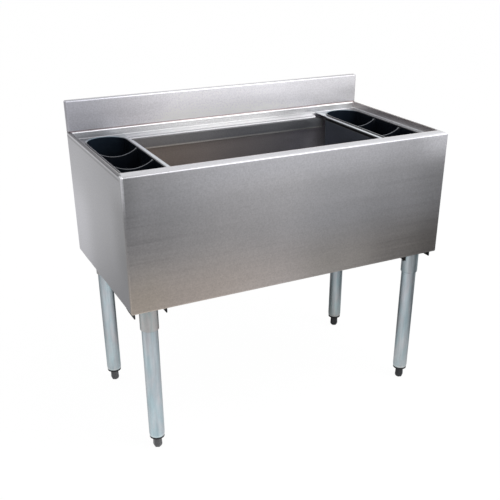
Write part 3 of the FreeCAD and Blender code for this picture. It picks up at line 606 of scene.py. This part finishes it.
class Shell:
    """Patches of surface, in millimetres, that are joined into one closed piece."""

    JOIN = 0.06

    def __init__(self) -> None:
        """Start with no patch."""
        self.points: list[np.ndarray] = []
        self.faces: list[list[int]] = []

    def _keep(self, points: np.ndarray) -> int:
        """Keep points and return the number of the first."""
        self.points.append(points)
        return sum(map(len, self.points)) - len(points)

    def patch(self, grid: np.ndarray, closed: bool = False) -> None:
        """Add a grid of points as a surface.

        Args:
            grid: Points as rows x columns x 3.
            closed: Whether the last column joins the first.
        """
        rows, columns = grid.shape[:2]
        first = self._keep(grid.reshape(-1, 3))
        number = np.arange(rows * columns).reshape(rows, columns) + first
        if closed:
            number = np.hstack([number, number[:, :1]])
        corners = number[:-1, :-1], number[:-1, 1:], number[1:, 1:], number[1:, :-1]
        self.faces.extend(np.stack(corners, axis=-1).reshape(-1, 4).tolist())

    def cap(self, ring: np.ndarray) -> None:
        """Close a ring of points by a fan round its middle.

        Args:
            ring: Points of the ring in order.
        """
        first = self._keep(np.vstack([ring, ring.mean(axis=0)]))
        rim = np.arange(len(ring)) + first
        middle = np.full(len(ring), first + len(ring))
        self.faces.extend(np.stack([rim, np.roll(rim, -1), middle], axis=-1).tolist())

    def piece(self, name: str, body: str, slot: str, finish: Finish, sharp: float = 35.0) -> bpy.types.Object:
        """Join the patches into an object that rides on a body.

        Args:
            name: Name of the piece.
            body: Body that carries it.
            slot: Not used.
            finish: Finish that gives its material.
            sharp: Angle in degrees from which an edge stays sharp.

        Returns:
            The new object.
        """
        mesh = bpy.data.meshes.new(name)
        mesh.from_pydata((np.concatenate(self.points) * MM).tolist(), [], self.faces)
        work = bmesh.new()
        work.from_mesh(mesh)
        bmesh.ops.remove_doubles(work, verts=work.verts[:], dist=self.JOIN * MM)
        bmesh.ops.recalc_face_normals(work, faces=work.faces[:])
        work.to_mesh(mesh)
        work.free()
        mesh.shade_smooth()
        mesh.set_sharp_from_angle(angle=math.radians(sharp))
        mesh.materials.append(finish.material())
        made = bpy.data.objects.new(name, mesh)
        bpy.context.scene.collection.objects.link(made)
        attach(made, body)
        log.info("built %s on %s with %d faces", name, body, len(mesh.polygons))
        return made


def paint(nodes: Iterable[str], finish: Finish) -> None:
    """Give CAD nodes the material of a finish.

    Args:
        nodes: Names of the nodes.
        finish: Finish that they share.
    """
    for name in nodes:
        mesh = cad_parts[name].data
        mesh.materials.clear()
        mesh.materials.append(finish.material())
        log.info("dressed %s with %s", name, finish.name)


@dataclass
class Cabinet:
    """Sheet-metal body of the bin: jacket, deck, backsplash, back, pan and the foam inside."""

    half_width: float = 457.2
    half_depth: float = 237.0
    rim_top: float = 771.9
    splash_top: float = 854.9
    shelf_top: float = 753.1
    recess_end: float = 448.7
    recess_back: float = 217.0

    def dress(self) -> None:
        """Give each sheet a tint and washes of painted light and shade: one stainless, lighter or darker per
        sheet and in places.
        """
        # Painted light: the jacket grows lighter towards the back.
        rear = Wash("Y", -self.half_depth, self.half_depth, grey(1.3))
        jacket = (rear, *self._apron_painted_shading(), *self._end_painted_shading(), *self._rim_painted_shading())
        apron = BrushedSteel("apron_steel", (0.472, 0.471, 0.494), washes=jacket)
        paint(["outer_jacket", "back_panel", "bottom_pan"], apron)
        self._dress_splash()
        self._dress_deck()
        paint(["insulation"], Foam("foam_cells"))

    def _apron_painted_shading(self) -> tuple[Wash, ...]:
        """Return the painted light and shade of the apron, standing in for its reflections.

        Returns:
            Washes that act on the front face alone.
        """
        front = Wash("Y", 17 - self.half_depth, 1 - self.half_depth)
        low = Wash("Z", 600, 450, gate=front)
        below_rim = Wash("Z", 750, 700, gate=front)
        return (
            # Painted light and shade on the front face: warmer and lighter low at left, lighter under the
            # top, darker at both ends, a painted highlight high at the right, lighter in the middle under the
            # rim, warmer low, darker low at the right.
            Wash("X", 150, -400, (1.07, 1.0, 0.92), Wash("Z", 720, 430, gate=front)),
            Wash("Z", 680, 755, (1.24, 1.24, 1.25), Wash("X", -420, -150, gate=front)),
            Wash("X", -400, -457, grey(0.80), Wash("Z", 550, 700, gate=front)),
            Wash("X", 300, 450, grey(0.78), Wash("Z", 730, 660, gate=front)),
            Wash("X", 340, 440, grey(1.30), Wash("Z", 670, 750, gate=front)),
            Wash("X", -340, -180, (1.12, 1.11, 1.10), Wash("X", 100, -50, gate=below_rim)),
            Wash("Z", 600, 450, (1.08, 1.02, 0.93), front),
            Wash("X", 100, -50, (1.03, 1.03, 1.07), Wash("X", -420, -320, gate=low)),
            Wash("X", 150, 300, (0.87, 0.87, 0.88), low),
        )

    def _end_painted_shading(self) -> tuple[Wash, ...]:
        """Return the painted shade and light of the left end.

        Returns:
            Painted shade towards the apron and painted light towards the back.
        """
        end = Wash("X", 3.2 - self.half_width, 1.2 - self.half_width)
        painted_shade_zone = Wash("Z", 745, 670, gate=Wash("Z", 460, 580, gate=end))
        painted_light_zone = Wash("Z", 700, 560, gate=end)
        return (
            # Painted shade towards the apron, then painted light towards the back.
            Wash("Y", -110, -215, (0.77, 0.77, 0.765), painted_shade_zone),
            Wash("Y", 20, 160, (1.22, 1.22, 1.23), painted_light_zone),
        )

    def _rim_painted_shading(self) -> tuple[Wash, ...]:
        """Return the painted light and shade along the folded rim.

        Returns:
            A painted darker top; on the left end rim a painted shadow line, a painted highlight on the fold,
            a painted dark band over the crown and a lit inner edge; a painted highlight on the front left
            corner; a painted dark brink on the right end rim.
        """
        top = self.rim_top
        left = Wash("X", -448.0, -449.5, gate=Wash("Y", -226, -216))
        left_top = Wash("Z", top - 1.1, top - 0.1, gate=left)
        corner = Wash("Y", 7 - self.half_depth, 5 - self.half_depth, gate=Wash("Z", 650, 760))
        right = Wash("Y", -200, -170, gate=Wash("Z", top - 2.4, top - 1.4))
        return (
            # Painted shade and painted highlights along the rim, in the order of the docstring.
            Wash("Z", top - 1.1, top - 0.1, grey(0.70)),
            Wash("Z", top - 14.9, top - 11.9, grey(0.72), left),
            Wash("Z", top - 9.4, top - 6.4, grey(1.65), left),
            Wash("Z", top - 3.4, top - 1.9, (0.11, 0.11, 0.115), left),
            Wash("X", -451.5, -450.0, grey(2.8), left_top),
            Wash("X", -451.5, -453.0, grey(2.1), corner),
            Wash("X", 448.0, 449.0, (0.20, 0.21, 0.21), right),
        )

    def _dress_splash(self) -> None:
        """Tint the splash with painted shade at its ends and top and painted light low down, with a thin seam
        along its foot.
        """
        top, foot = self.splash_top, self.rim_top
        washes = (
            # Painted shade at the ends, end edges and top; painted light on the lower part; the last wash is
            # the dark seam along the foot.
            Wash("X", -120, -450, (0.62, 0.63, 0.66)),
            Wash("X", 100, 450, grey(0.80)),
            Wash("X", 300, 450, grey(0.72), Wash("Z", 840, 800)),
            Wash("X", self.half_width - 2.7, self.half_width - 1.2, grey(0.55)),
            Wash("X", 3.2 - self.half_width, 1.2 - self.half_width, (0.80, 0.79, 0.79)),
            Wash("Z", 820, 775, grey(1.10)),
            Wash("Z", top - 4.4, top - 2.9, grey(0.80)),
            Wash("Z", top - 1.4, top - 0.1, grey(0.44)),
            Wash("Z", foot + 3.6, foot + 1.6, (0.66, 0.58, 0.56)),
        )
        # The splash's pale tint is painted light on the same stainless as the other sheets.
        paint(["backsplash"],
              BrushedSteel("splash_steel", (0.942, 0.930, 0.972), roughness=0.42, washes=washes))

    def _dress_deck(self) -> None:
        """Tint the deck with painted light and shade along its recess wall, ledge, shelf bend and lip."""
        shelf = self.shelf_top
        end = Wash("X", self.recess_end - 1.2, self.recess_end)
        back = Wash("Y", self.recess_back - 3, self.recess_back)
        ledge = Wash("Z", shelf + 0.9, shelf - 0.6, gate=Wash("Y", 170, 178))
        lip = Wash("Z", shelf - 8.6, shelf - 12.6)
        roll = Wash("Z", shelf - 11.1, shelf - 9.1, gate=Wash("X", 300, 285))
        washes = (
            # Painted light and shade: darker to the left, lighter to the right, a darker end wall with a
            # painted highlight at its foot, a lit upper back wall with painted shade towards its right, a
            # dark seam under the splash, painted shade on the ledge's front edge, painted highlights on the
            # shelf roll and the flange's lower edge, and a lit lip towards the left.
            Wash("X", -50, -450, (0.66, 0.67, 0.70)),
            Wash("X", 200, 400, (1.58, 1.58, 1.59)),
            replace(end, tint=(0.58, 0.54, 0.53)),
            Wash("Z", shelf + 3.4, shelf + 1.7, grey(2.4), end),
            Wash("Z", shelf + 2.9, shelf + 12.9, grey(1.50), back),
            Wash("X", 100, 240, (0.68, 0.68, 0.69), Wash("X", 360, 300, gate=back)),
            Wash("Z", self.rim_top - 1.9, self.rim_top - 0.5, (0.62, 0.56, 0.54)),
            Wash("Y", 187.5, 182.5, (0.45, 0.45, 0.46), ledge),
            Wash("Z", shelf - 3.6, shelf - 6.1, grey(2.3), roll),
            replace(lip, tint=(1.0, 1.02, 1.05)),
            Wash("X", 50, -300, (1.75, 1.70, 1.62), lip),
            Wash("Z", shelf - 34.1, shelf - 36.6, (1.9, 1.85, 1.7)),
        )
        # The light fill takes the shine off the lip beside the right tray, so that its painted-bright colour
        # fills a dark band of reflection: painted light.
        steel = BrushedSteel("deck_steel", (0.62, 0.62, 0.625), roughness=0.40, washes=washes,
                             light_fill=Wash("X", 250, 310, gate=lip))
        paint(["top_deck"], steel)


@dataclass
class IceWell:
    """Ice liner with its drain; the liner is dulled in the corner beside the right tray, so that painted
    light fills it.
    """

    tray: float = 300.0
    back: float = 200.0

    def dress(self) -> None:
        """Give the liner a dull polish with painted light towards its right end, and the drain a turned one.
        """
        cool = Wash("X", -250, self.tray, (0.78, 0.86, 1.0))
        # Painted light: the liner is lighter towards the right tray, where it would show a dark reflection.
        right = Wash("X", 160, 320, (2.0, 2.0, 2.05))
        # The light fill dulls the liner beside the right tray, so that its painted-bright colour fills the
        # dark band.
        light_fill = Wash("X", self.tray - 60, self.tray, gate=Wash("Y", self.back - 10, self.back))
        dull = BrushedSteel("liner_steel", (0.45, 0.395, 0.36), roughness=0.45,
                            washes=(cool, right), light_fill=light_fill)
        paint(["ice_liner"], dull)
        turned = BrushedSteel("drain_steel", (0.55, 0.555, 0.56), Grain.ALONG_Z, 0.3)
        paint(["drain_body", "drain_locknut", "drain_strainer"], turned)
        paint(["drain_gasket"], Moulded("gasket_rubber", grey(0.02), grey(0.04), 0.8))


@dataclass
class BottleStation:
    """Bottle tray of one end with its moulded well of three cups."""

    end: str
    middle: float = 373.1
    half_width: float = 53.4
    front_arc: float = -137.6
    rear_arc: float = 147.6
    dividers: tuple[float, float] = (-57.0, 67.0)
    divider: float = 3.0
    corner: float = 9.0
    crown: float = 1.2
    top: float = 755.3
    seat: float = 753.1
    floor: float = 541.5
    under: float = 539.3
    wall: float = 2.2
    rim: float = 5.2
    neck: float = 1.0
    lip: float = 1.2
    nose: float = 0.9
    heel: float = 4.0
    start: float = 4.0
    sag: float = 16.4
    draft: float = 1.0
    cove: float = 5.0
    strip_inner: float = 316.0
    strip_outer: float = 326.0
    hanging_wall: float = 303.0

    def _sign(self) -> int:
        """Return -1 for the left end and 1 for the right end."""
        return -1 if self.end == "left" else 1

    def _half(self) -> float:
        """Return half the width of a divider where its flared ends meet the wall."""
        return self.divider / 2 + self.corner

    def _level(self) -> float:
        """Return the height of a cup's edge along the wall."""
        return self.top - self.start - self.crown

    def _inset(self, height: np.ndarray) -> np.ndarray:
        """Return how far the draft brings a wall inwards at a height."""
        return math.tan(math.radians(self.draft)) * (self.top - height)

    @staticmethod
    def _sweep() -> np.ndarray:
        """Return places from -1 to 1 across a divider, closest together at its edges."""
        return np.sin(np.linspace(-math.pi / 2, math.pi / 2, 11))

    def _side(self) -> list[np.ndarray]:
        """Divide a straight side of the well.

        Returns:
            y in five stretches: cup, divider, cup, divider, cup.
        """
        first, second = self.dividers
        half = self._half()
        sweep = half * self._sweep()
        return [
            np.linspace(self.front_arc, first - half, 6), first + sweep,
            np.linspace(first + half, second - half, 9), second + sweep,
            np.linspace(second + half, self.rear_arc, 6),
        ]

    def _edge_height(self, y: np.ndarray) -> np.ndarray:
        """Return the height at which the collar meets the cups: level, and crowned over a divider."""
        gap = np.min([np.abs(y - d) for d in self.dividers], axis=0) / self._half()
        return self.top - self.start - self.crown * (1 - np.sqrt(np.clip(1 - gap ** 2, 0, 1)))

    def _arc(self, y: float, first: float) -> Run:
        """Return points and outward directions on a half circle, its ends left out.

        Args:
            y: Middle of the circle.
            first: Angle at which it starts.

        Returns:
            Points and directions in plan.
        """
        turn = first + np.linspace(0, math.pi, 41)[1:-1]
        out = np.stack([np.cos(turn), np.sin(turn)], axis=-1)
        return out * self.half_width + (0, y), out

    def _straight(self, y: np.ndarray, side: int) -> Run:
        """Return points and outward directions on a straight side, +1 for the one at high x."""
        points = np.stack([np.full_like(y, side * self.half_width), y], axis=-1)
        return points, np.broadcast_to((float(side), 0.0), points.shape)

    def _across(self, y: float, facing: int) -> Run:
        """Return one edge of a divider with its flared corners, x rising.

        Args:
            y: Middle of the divider.
            facing: +1 for the cup in front of the divider, -1 for the cup behind.

        Returns:
            Points, directions out of the cup, and heights that follow the saddle.
        """
        turn = quarter(7)
        flat = (self.half_width - self.corner) * np.linspace(-1, 1, 25)[1:-1]
        level = np.zeros_like(flat)
        bend = self.half_width - self.corner * (1 - np.sin(turn))
        flare = self.corner * (1 - np.cos(turn))
        x = np.concatenate([-bend[::-1], flat, bend])
        widen = np.concatenate([flare[::-1], level, flare])
        points = np.stack([x, y - facing * (self.divider / 2 + widen)], axis=-1)
        out = np.stack([
            np.concatenate([-np.sin(turn)[::-1], level, np.sin(turn)]),
            facing * np.concatenate([np.cos(turn)[::-1], level + 1, np.cos(turn)]),
        ], axis=-1)
        return points, out, self._saddle(x) - self.crown

    def _saddle(self, x: np.ndarray) -> np.ndarray:
        """Return the height of a divider's crest, which sags as one arc from wall to wall."""
        bend = (self.half_width ** 2 + self.sag ** 2) / (2 * self.sag)
        return self.top - self.start - self.sag + bend - np.sqrt(bend ** 2 - x ** 2)

    def _lift(self, points: np.ndarray, out: np.ndarray, offset: Any, height: Any) -> np.ndarray:
        """Return plan points moved outwards and set at a height, in the place of this end.

        Args:
            points: Loop in plan.
            out: Outward directions.
            offset: Distance outwards, one or one per point.
            height: Height, one or one per point.

        Returns:
            Points in space.
        """
        plan = points + out * np.broadcast_to(offset, len(points))[:, None]
        level = np.broadcast_to(height, len(points))
        return np.stack([plan[:, 0] + self._sign() * self.middle, plan[:, 1], level], axis=-1)

    def _collar(self, shell: Shell) -> None:
        """Add the rim and the outside: one profile carried round the racetrack loop.

        Args:
            shell: Shell under construction.
        """
        parts = self._side()
        y = np.concatenate([parts[0], parts[1][1:-1], parts[2], parts[3][1:-1], parts[4]])
        runs = [self._straight(y, 1), self._arc(self.rear_arc, 0.0),
                self._straight(y[::-1], -1), self._arc(self.front_arc, math.pi)]
        points, out = (np.concatenate(column) for column in zip(*runs))
        edge = np.where(np.abs(out[:, 1]) > 0, self._level(), self._edge_height(points[:, 1]))
        rise, run = 1 - np.sin(quarter(5)), 1 - np.cos(quarter(5))
        fall = np.linspace(self.seat, self.under + self.heel, 6)
        outside = self.wall - self._inset(fall)
        offsets = np.concatenate([
            self.lip * run, self.rim - self.nose * rise, [self.rim, self.wall + self.neck],
            outside, outside[-1] - self.heel * run[1:],
        ])
        heights = np.concatenate([
            self.top - self.lip * rise, self.top - self.nose * run, [self.seat, self.seat],
            fall, self.under + self.heel * rise[1:],
        ])
        rows = [self._lift(points, out, -self._inset(edge), edge)]
        rows += [self._lift(points, out, offset, height) for offset, height in zip(offsets, heights)]
        shell.patch(np.stack(rows), closed=True)
        shell.cap(rows[-1])

    def _cup(self, shell: Shell, points: np.ndarray, out: np.ndarray, edge: np.ndarray) -> None:
        """Add one cup: its loop sinks with the draft, rounds a cove and closes on the floor.

        Args:
            shell: Shell under construction.
            points: Loop in plan.
            out: Directions out of the cup.
            edge: Height of the cup's edge.
        """
        bottom = self.floor + self.cove
        levels = edge + (bottom - edge) * np.linspace(0, 1, 9)[:, None]
        rows = [self._lift(points, out, -self._inset(level), level) for level in levels]
        rise, run = 1 - np.sin(quarter(5)[1:]), 1 - np.cos(quarter(5)[1:])
        offsets, heights = -self._inset(bottom) - self.cove * run, self.floor + self.cove * rise
        rows += [self._lift(points, out, offset, height) for offset, height in zip(offsets, heights)]
        shell.patch(np.stack(rows), closed=True)
        shell.cap(rows[-1])

    def _loops(self) -> list[Run]:
        """Return the loops of the cups.

        Returns:
            Loop, outward directions and edge height of the front, middle and rear cup.
        """
        parts = self._side()
        first, second = self.dividers

        def wall(run: Run) -> Run:
            """Return a run of wall with its level edge."""
            return *run, np.full(len(run[0]), self._level())

        def side(y: np.ndarray, sign: int) -> Run:
            """Return a straight side: 1 for the one at high x, -1 for the one at low x, run forwards."""
            return wall(self._straight(y[::sign], sign))

        def edge(y: float, facing: int) -> Run:
            """Return a divider's edge, its ends left out: x falls in front of it and rises behind it."""
            return tuple(column[1:-1][::-facing] for column in self._across(y, facing))

        front, rear = wall(self._arc(self.front_arc, math.pi)), wall(self._arc(self.rear_arc, 0.0))
        loops = [
            [side(parts[0], 1), edge(first, 1), side(parts[0], -1), front],
            [side(parts[2], 1), edge(second, 1), side(parts[2], -1), edge(first, -1)],
            [side(parts[4], 1), rear, side(parts[4], -1), edge(second, -1)],
        ]
        return [tuple(np.concatenate(column) for column in zip(*loop)) for loop in loops]

    def _crest(self, shell: Shell, y: float) -> None:
        """Add the crowned top of a divider: a half ellipse between the edges of two cups.

        Args:
            shell: Shell under construction.
            y: Middle of the divider.
        """
        edges = []
        for facing in (1, -1):
            points, out, height = self._across(y, facing)
            edges.append(self._lift(points, out, -self._inset(height), height))
        sweep = self._sweep()
        share = (0.5 + 0.5 * sweep)[:, None, None]
        grid = edges[0] * (1 - share) + edges[1] * share
        grid[..., 2] += (self.crown * np.sqrt(np.clip(1 - sweep ** 2, 0, 1)))[:, None]
        shell.patch(grid)

    def build(self) -> None:
        """Build the moulded well and put it in the place of its plain solid."""
        shell = Shell()
        self._collar(shell)
        for loop in self._loops():
            self._cup(shell, *loop)
        for y in self.dividers:
            self._crest(shell, y)
        well = shell.piece(f"moulded_well_{self.end}", f"well_{self.end}", "black_plastic", self.finish())
        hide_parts(f"bottle_well_{self.end}")

    def finish(self) -> Moulded:
        """Return the glossy black of the well.

        Returns:
            Plastic with painted light on its rear rim and on the left well's rear left arc, a painted sheen
            on the rear wall and painted highlights on the divider crests.
        """
        middle, side = self._sign() * self.middle, self.half_width
        rim = Wash("Z", self.top - 1.8, self.top - 0.3)
        arc = Wash("Y", 138, 150, gate=Wash("Y", 185, 160, gate=rim))
        deep = Wash("Z", self.top - 23.3, self.top - 21.8)
        inside = Wash("Z", self.top - 2.3, self.top - 3.3, gate=deep)
        inside = Wash("X", middle - side - 0.6, middle - side + 0.4, gate=inside)
        inside = Wash("X", middle + side + 0.6, middle + side - 0.4, gate=inside)
        washes = [
            # Painted light on the rear rim, a painted sheen on the rear wall and a painted highlight on the
            # left well's rear left arc.
            Wash("Y", 130, 200, (16.0, 14.0, 11.0), rim),
            Wash("Z", 660, 750, (2.0, 2.3, 2.4), Wash("Y", 160, 190)),
            Wash("X", -405, -425, (4.6, 4.0, 3.5), arc),
        ]
        # Painted highlights along the divider crests.
        washes += [
            Wash("Y", y - 1.8, y - 1.0, (26.0, 21.0, 16.0), Wash("Y", y + 1.8, y + 1.0, gate=inside))
            for y in self.dividers
        ]
        return Moulded(f"well_plastic_{self.end}", (0.006, 0.008, 0.012), (0.012, 0.015, 0.020), 0.20,
                       gloss=0.15, washes=tuple(washes))

    def dress(self) -> None:
        """Tint the tray with painted light and shade: a dark tint, painted shade on the hanging wall, its
        bend and the rear of the left tray, and a painted highlight on the strip beside the ice.
        """
        sign, wall = self._sign(), self.hanging_wall
        strip_highlight = 1.25 if self.end == "left" else 1.65
        upper = Wash("Z", self.seat - 9.1, self.seat - 7.6)
        washes = (
            # Painted shade on the hanging wall, a painted highlight on the strip beside the ice, painted
            # shade on its bend and towards the rear of the left tray.
            Wash("Z", self.seat - 4.1, self.seat - 15.1, (0.75, 0.82, 0.93)),
            Wash("X", sign * self.strip_outer, sign * self.strip_inner, (strip_highlight, strip_highlight, 0.97 * strip_highlight), upper),
            Wash("X", sign * (wall + 1.5), sign * wall, grey(0.06), upper),
            Wash("Y", 0, 160, (0.60, 0.58, 0.58), Wash("X", -340, -400, gate=upper)),
        )
        steel = BrushedSteel(f"tray_steel_{self.end}", (0.26, 0.275, 0.30), Grain.ALONG_Y, washes=washes)
        paint([f"bottle_tray_{self.end}"], steel)
        paint([f"bottle_well_{self.end}"], self.finish())


@dataclass
class Leg:
    """One leg: gusset, socket, tube, insert and an adjustable hexagonal foot."""

    name: str
    turn: float
    spread_x: float = 401.8
    spread_y: float = 193.7
    across: float = 20.5
    flare: float = 2.2
    foot_height: float = 33.0
    tip: float = 18.0
    bevel: float = 6.0
    chamfer: float = 0.5
    corner: float = 0.96
    stud: float = 12.7
    stud_top: float = 97.0
    stud_rings: int = 250
    pitch: float = 1.95
    thread: float = 0.55
    socket: float = 24.0
    socket_top: float = 427.2
    bead: float = 1.9
    bead_out: float = 0.6
    bead_drop: float = 2.28
    ripples: int = 46
    ripple: float = 0.10
    ripple_lean: float = 0.8

    def _axis(self) -> np.ndarray:
        """Return the point on the leg's axis at height 0."""
        row, end = (-1 if word in ("front", "left") else 1 for word in self.name.split("_"))
        return np.array((end * self.spread_x, row * self.spread_y, 0.0))

    def _hexagon(self, angle: np.ndarray) -> np.ndarray:
        """Return the reach of a hexagon of inner radius 1, its corners turned off.

        Args:
            angle: Angles round the foot.

        Returns:
            1 / cos of the angle from the nearest flat, held to the turned corner.
        """
        sixth = math.pi / 3
        from_flat = np.mod(angle - math.radians(self.turn) + math.pi / 2 + sixth / 2, sixth) - sixth / 2
        return np.minimum(1 / np.cos(from_flat), self.corner / math.cos(sixth / 2))

    def _foot(self) -> None:
        """Build a flared hexagon, bevelled at its end, with a threaded stud, in place of its solid."""
        angle = circle(72)
        shoulder = self.foot_height - self.chamfer
        low = np.concatenate([np.linspace(0.0, self.bevel, 6), np.linspace(self.bevel, shoulder, 6)])
        slope = math.tan(math.radians(self.flare))
        widest = self.across / 2 + slope * (self.foot_height - self.bevel)
        side = self.across / 2 + slope * (self.foot_height - low)
        bevelled = self.tip / 2 + (widest - self.tip / 2) * low / self.bevel
        inner = np.append(np.minimum(side, bevelled), self.across / 2 - self.chamfer)
        hexed = inner[:, None] * self._hexagon(angle)
        up = np.linspace(self.foot_height, self.stud_top, self.stud_rings)[:, None]
        wave = 0.5 + 0.5 * np.cos(2 * math.pi * up / self.pitch - angle)
        reach = np.vstack([hexed, self.stud / 2 - self.thread * wave])
        height = np.vstack([low[:, None], [[self.foot_height]], up]) + np.zeros_like(angle)
        grid = np.stack([reach * np.cos(angle), reach * np.sin(angle), height], axis=-1) + self._axis()
        shell = Shell()
        shell.patch(grid, closed=True)
        shell.cap(grid[0])
        shell.cap(grid[-1])
        foot = shell.piece(f"hexagonal_foot_{self.name}", f"foot_{self.name}", "dark_plastic",
                           self.finish(), 25.0)
        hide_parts(f"bullet_foot_{self.name}")

    def _weld(self) -> None:
        """Run a weld bead round the top of the socket: a small circle, rippled along its path."""
        path, section = circle(240)[None, :], circle(12)[:, None]
        phase = self.ripples * path + self.ripple_lean * np.cos(section)
        radius = self.bead * (1 + self.ripple * np.cos(phase))
        reach = self.socket + self.bead_out + radius * np.cos(section)
        height = self.socket_top - self.bead_drop + radius * np.sin(section)
        grid = np.stack([reach * np.cos(path), reach * np.sin(path), height], axis=-1) + self._axis()
        shell = Shell()
        shell.patch(np.concatenate([grid, grid[:1]]), closed=True)
        shell.piece(f"weld_bead_{self.name}", "bin", "gusset_steel", self.weld_finish(), 60.0)

    def build(self) -> None:
        """Build the foot and the weld bead."""
        self._foot()
        self._weld()

    @staticmethod
    def finish() -> Moulded:
        """Return the grey of the foot, with painted shade that darkens it towards the right end."""
        # Painted shade: the feet darken towards the right end.
        right = Wash("X", -390, 390, (0.26, 0.27, 0.29))
        return Moulded("foot_plastic", (0.110, 0.110, 0.115), (0.21, 0.21, 0.215), 0.42, washes=(right,))

    @staticmethod
    def weld_finish() -> BrushedSteel:
        """Return the near-black steel of the gusset and its weld: painted shade, as they sit in deep shadow
        under the bin.
        """
        return BrushedSteel("gusset_steel", (0.032, 0.031, 0.030), Grain.ALONG_Y, 0.42)

    def dress(self) -> None:
        """Give each piece of the leg its finish, with painted light on the tubes."""
        cool = Wash("X", -300, 300, (0.84, 0.94, 1.0))
        # Painted highlight on the tube's lower edge, and painted light low on the tubes of the right and rear
        # legs.
        tube_edge_highlight = Wash("Z", 47, 41, (1.25, 1.2, 1.17))
        right = Wash("Z", 220, 50, (1.35, 1.35, 1.32), Wash("X", -300, 300))
        rear = Wash("Z", 220, 50, (1.25, 1.25, 1.23), Wash("Y", -100, 100))
        cut = Wash("Z", 39.2, 38.0, grey(0.05))
        finishes = {
            "leg_gusset": self.weld_finish(),
            "leg_socket": Galvanised("socket_zinc", (0.60, 0.61, 0.60), (0.42, 0.43, 0.43), (cool,)),
            "leg_tube": Galvanised("leg_zinc", washes=(tube_edge_highlight, right, rear, cut)),
            "foot_insert": Moulded("insert_plastic", (0.008, 0.008, 0.009), grey(0.02), 0.5),
            "bullet_foot": self.finish(),
        }
        for piece, finish in finishes.items():
            paint([f"{piece}_{self.name}"], finish)


def main() -> None:
    """Build and dress the bin, one sub-assembly after the other."""
    logging.basicConfig(level=logging.INFO)
    Studio().build()
    Cabinet().dress()
    IceWell().dress()
    stations = [BottleStation("left"), BottleStation("right")]
    legs = [Leg(name, turn) for name, turn in LEGS.items()]
    for assembly in stations + legs:
        assembly.build()
        assembly.dress()
    paint(["leg_set_screws"], Moulded("screw_black", grey(0.02), grey(0.05), 0.4))


if __name__ == "__main__":
    main()
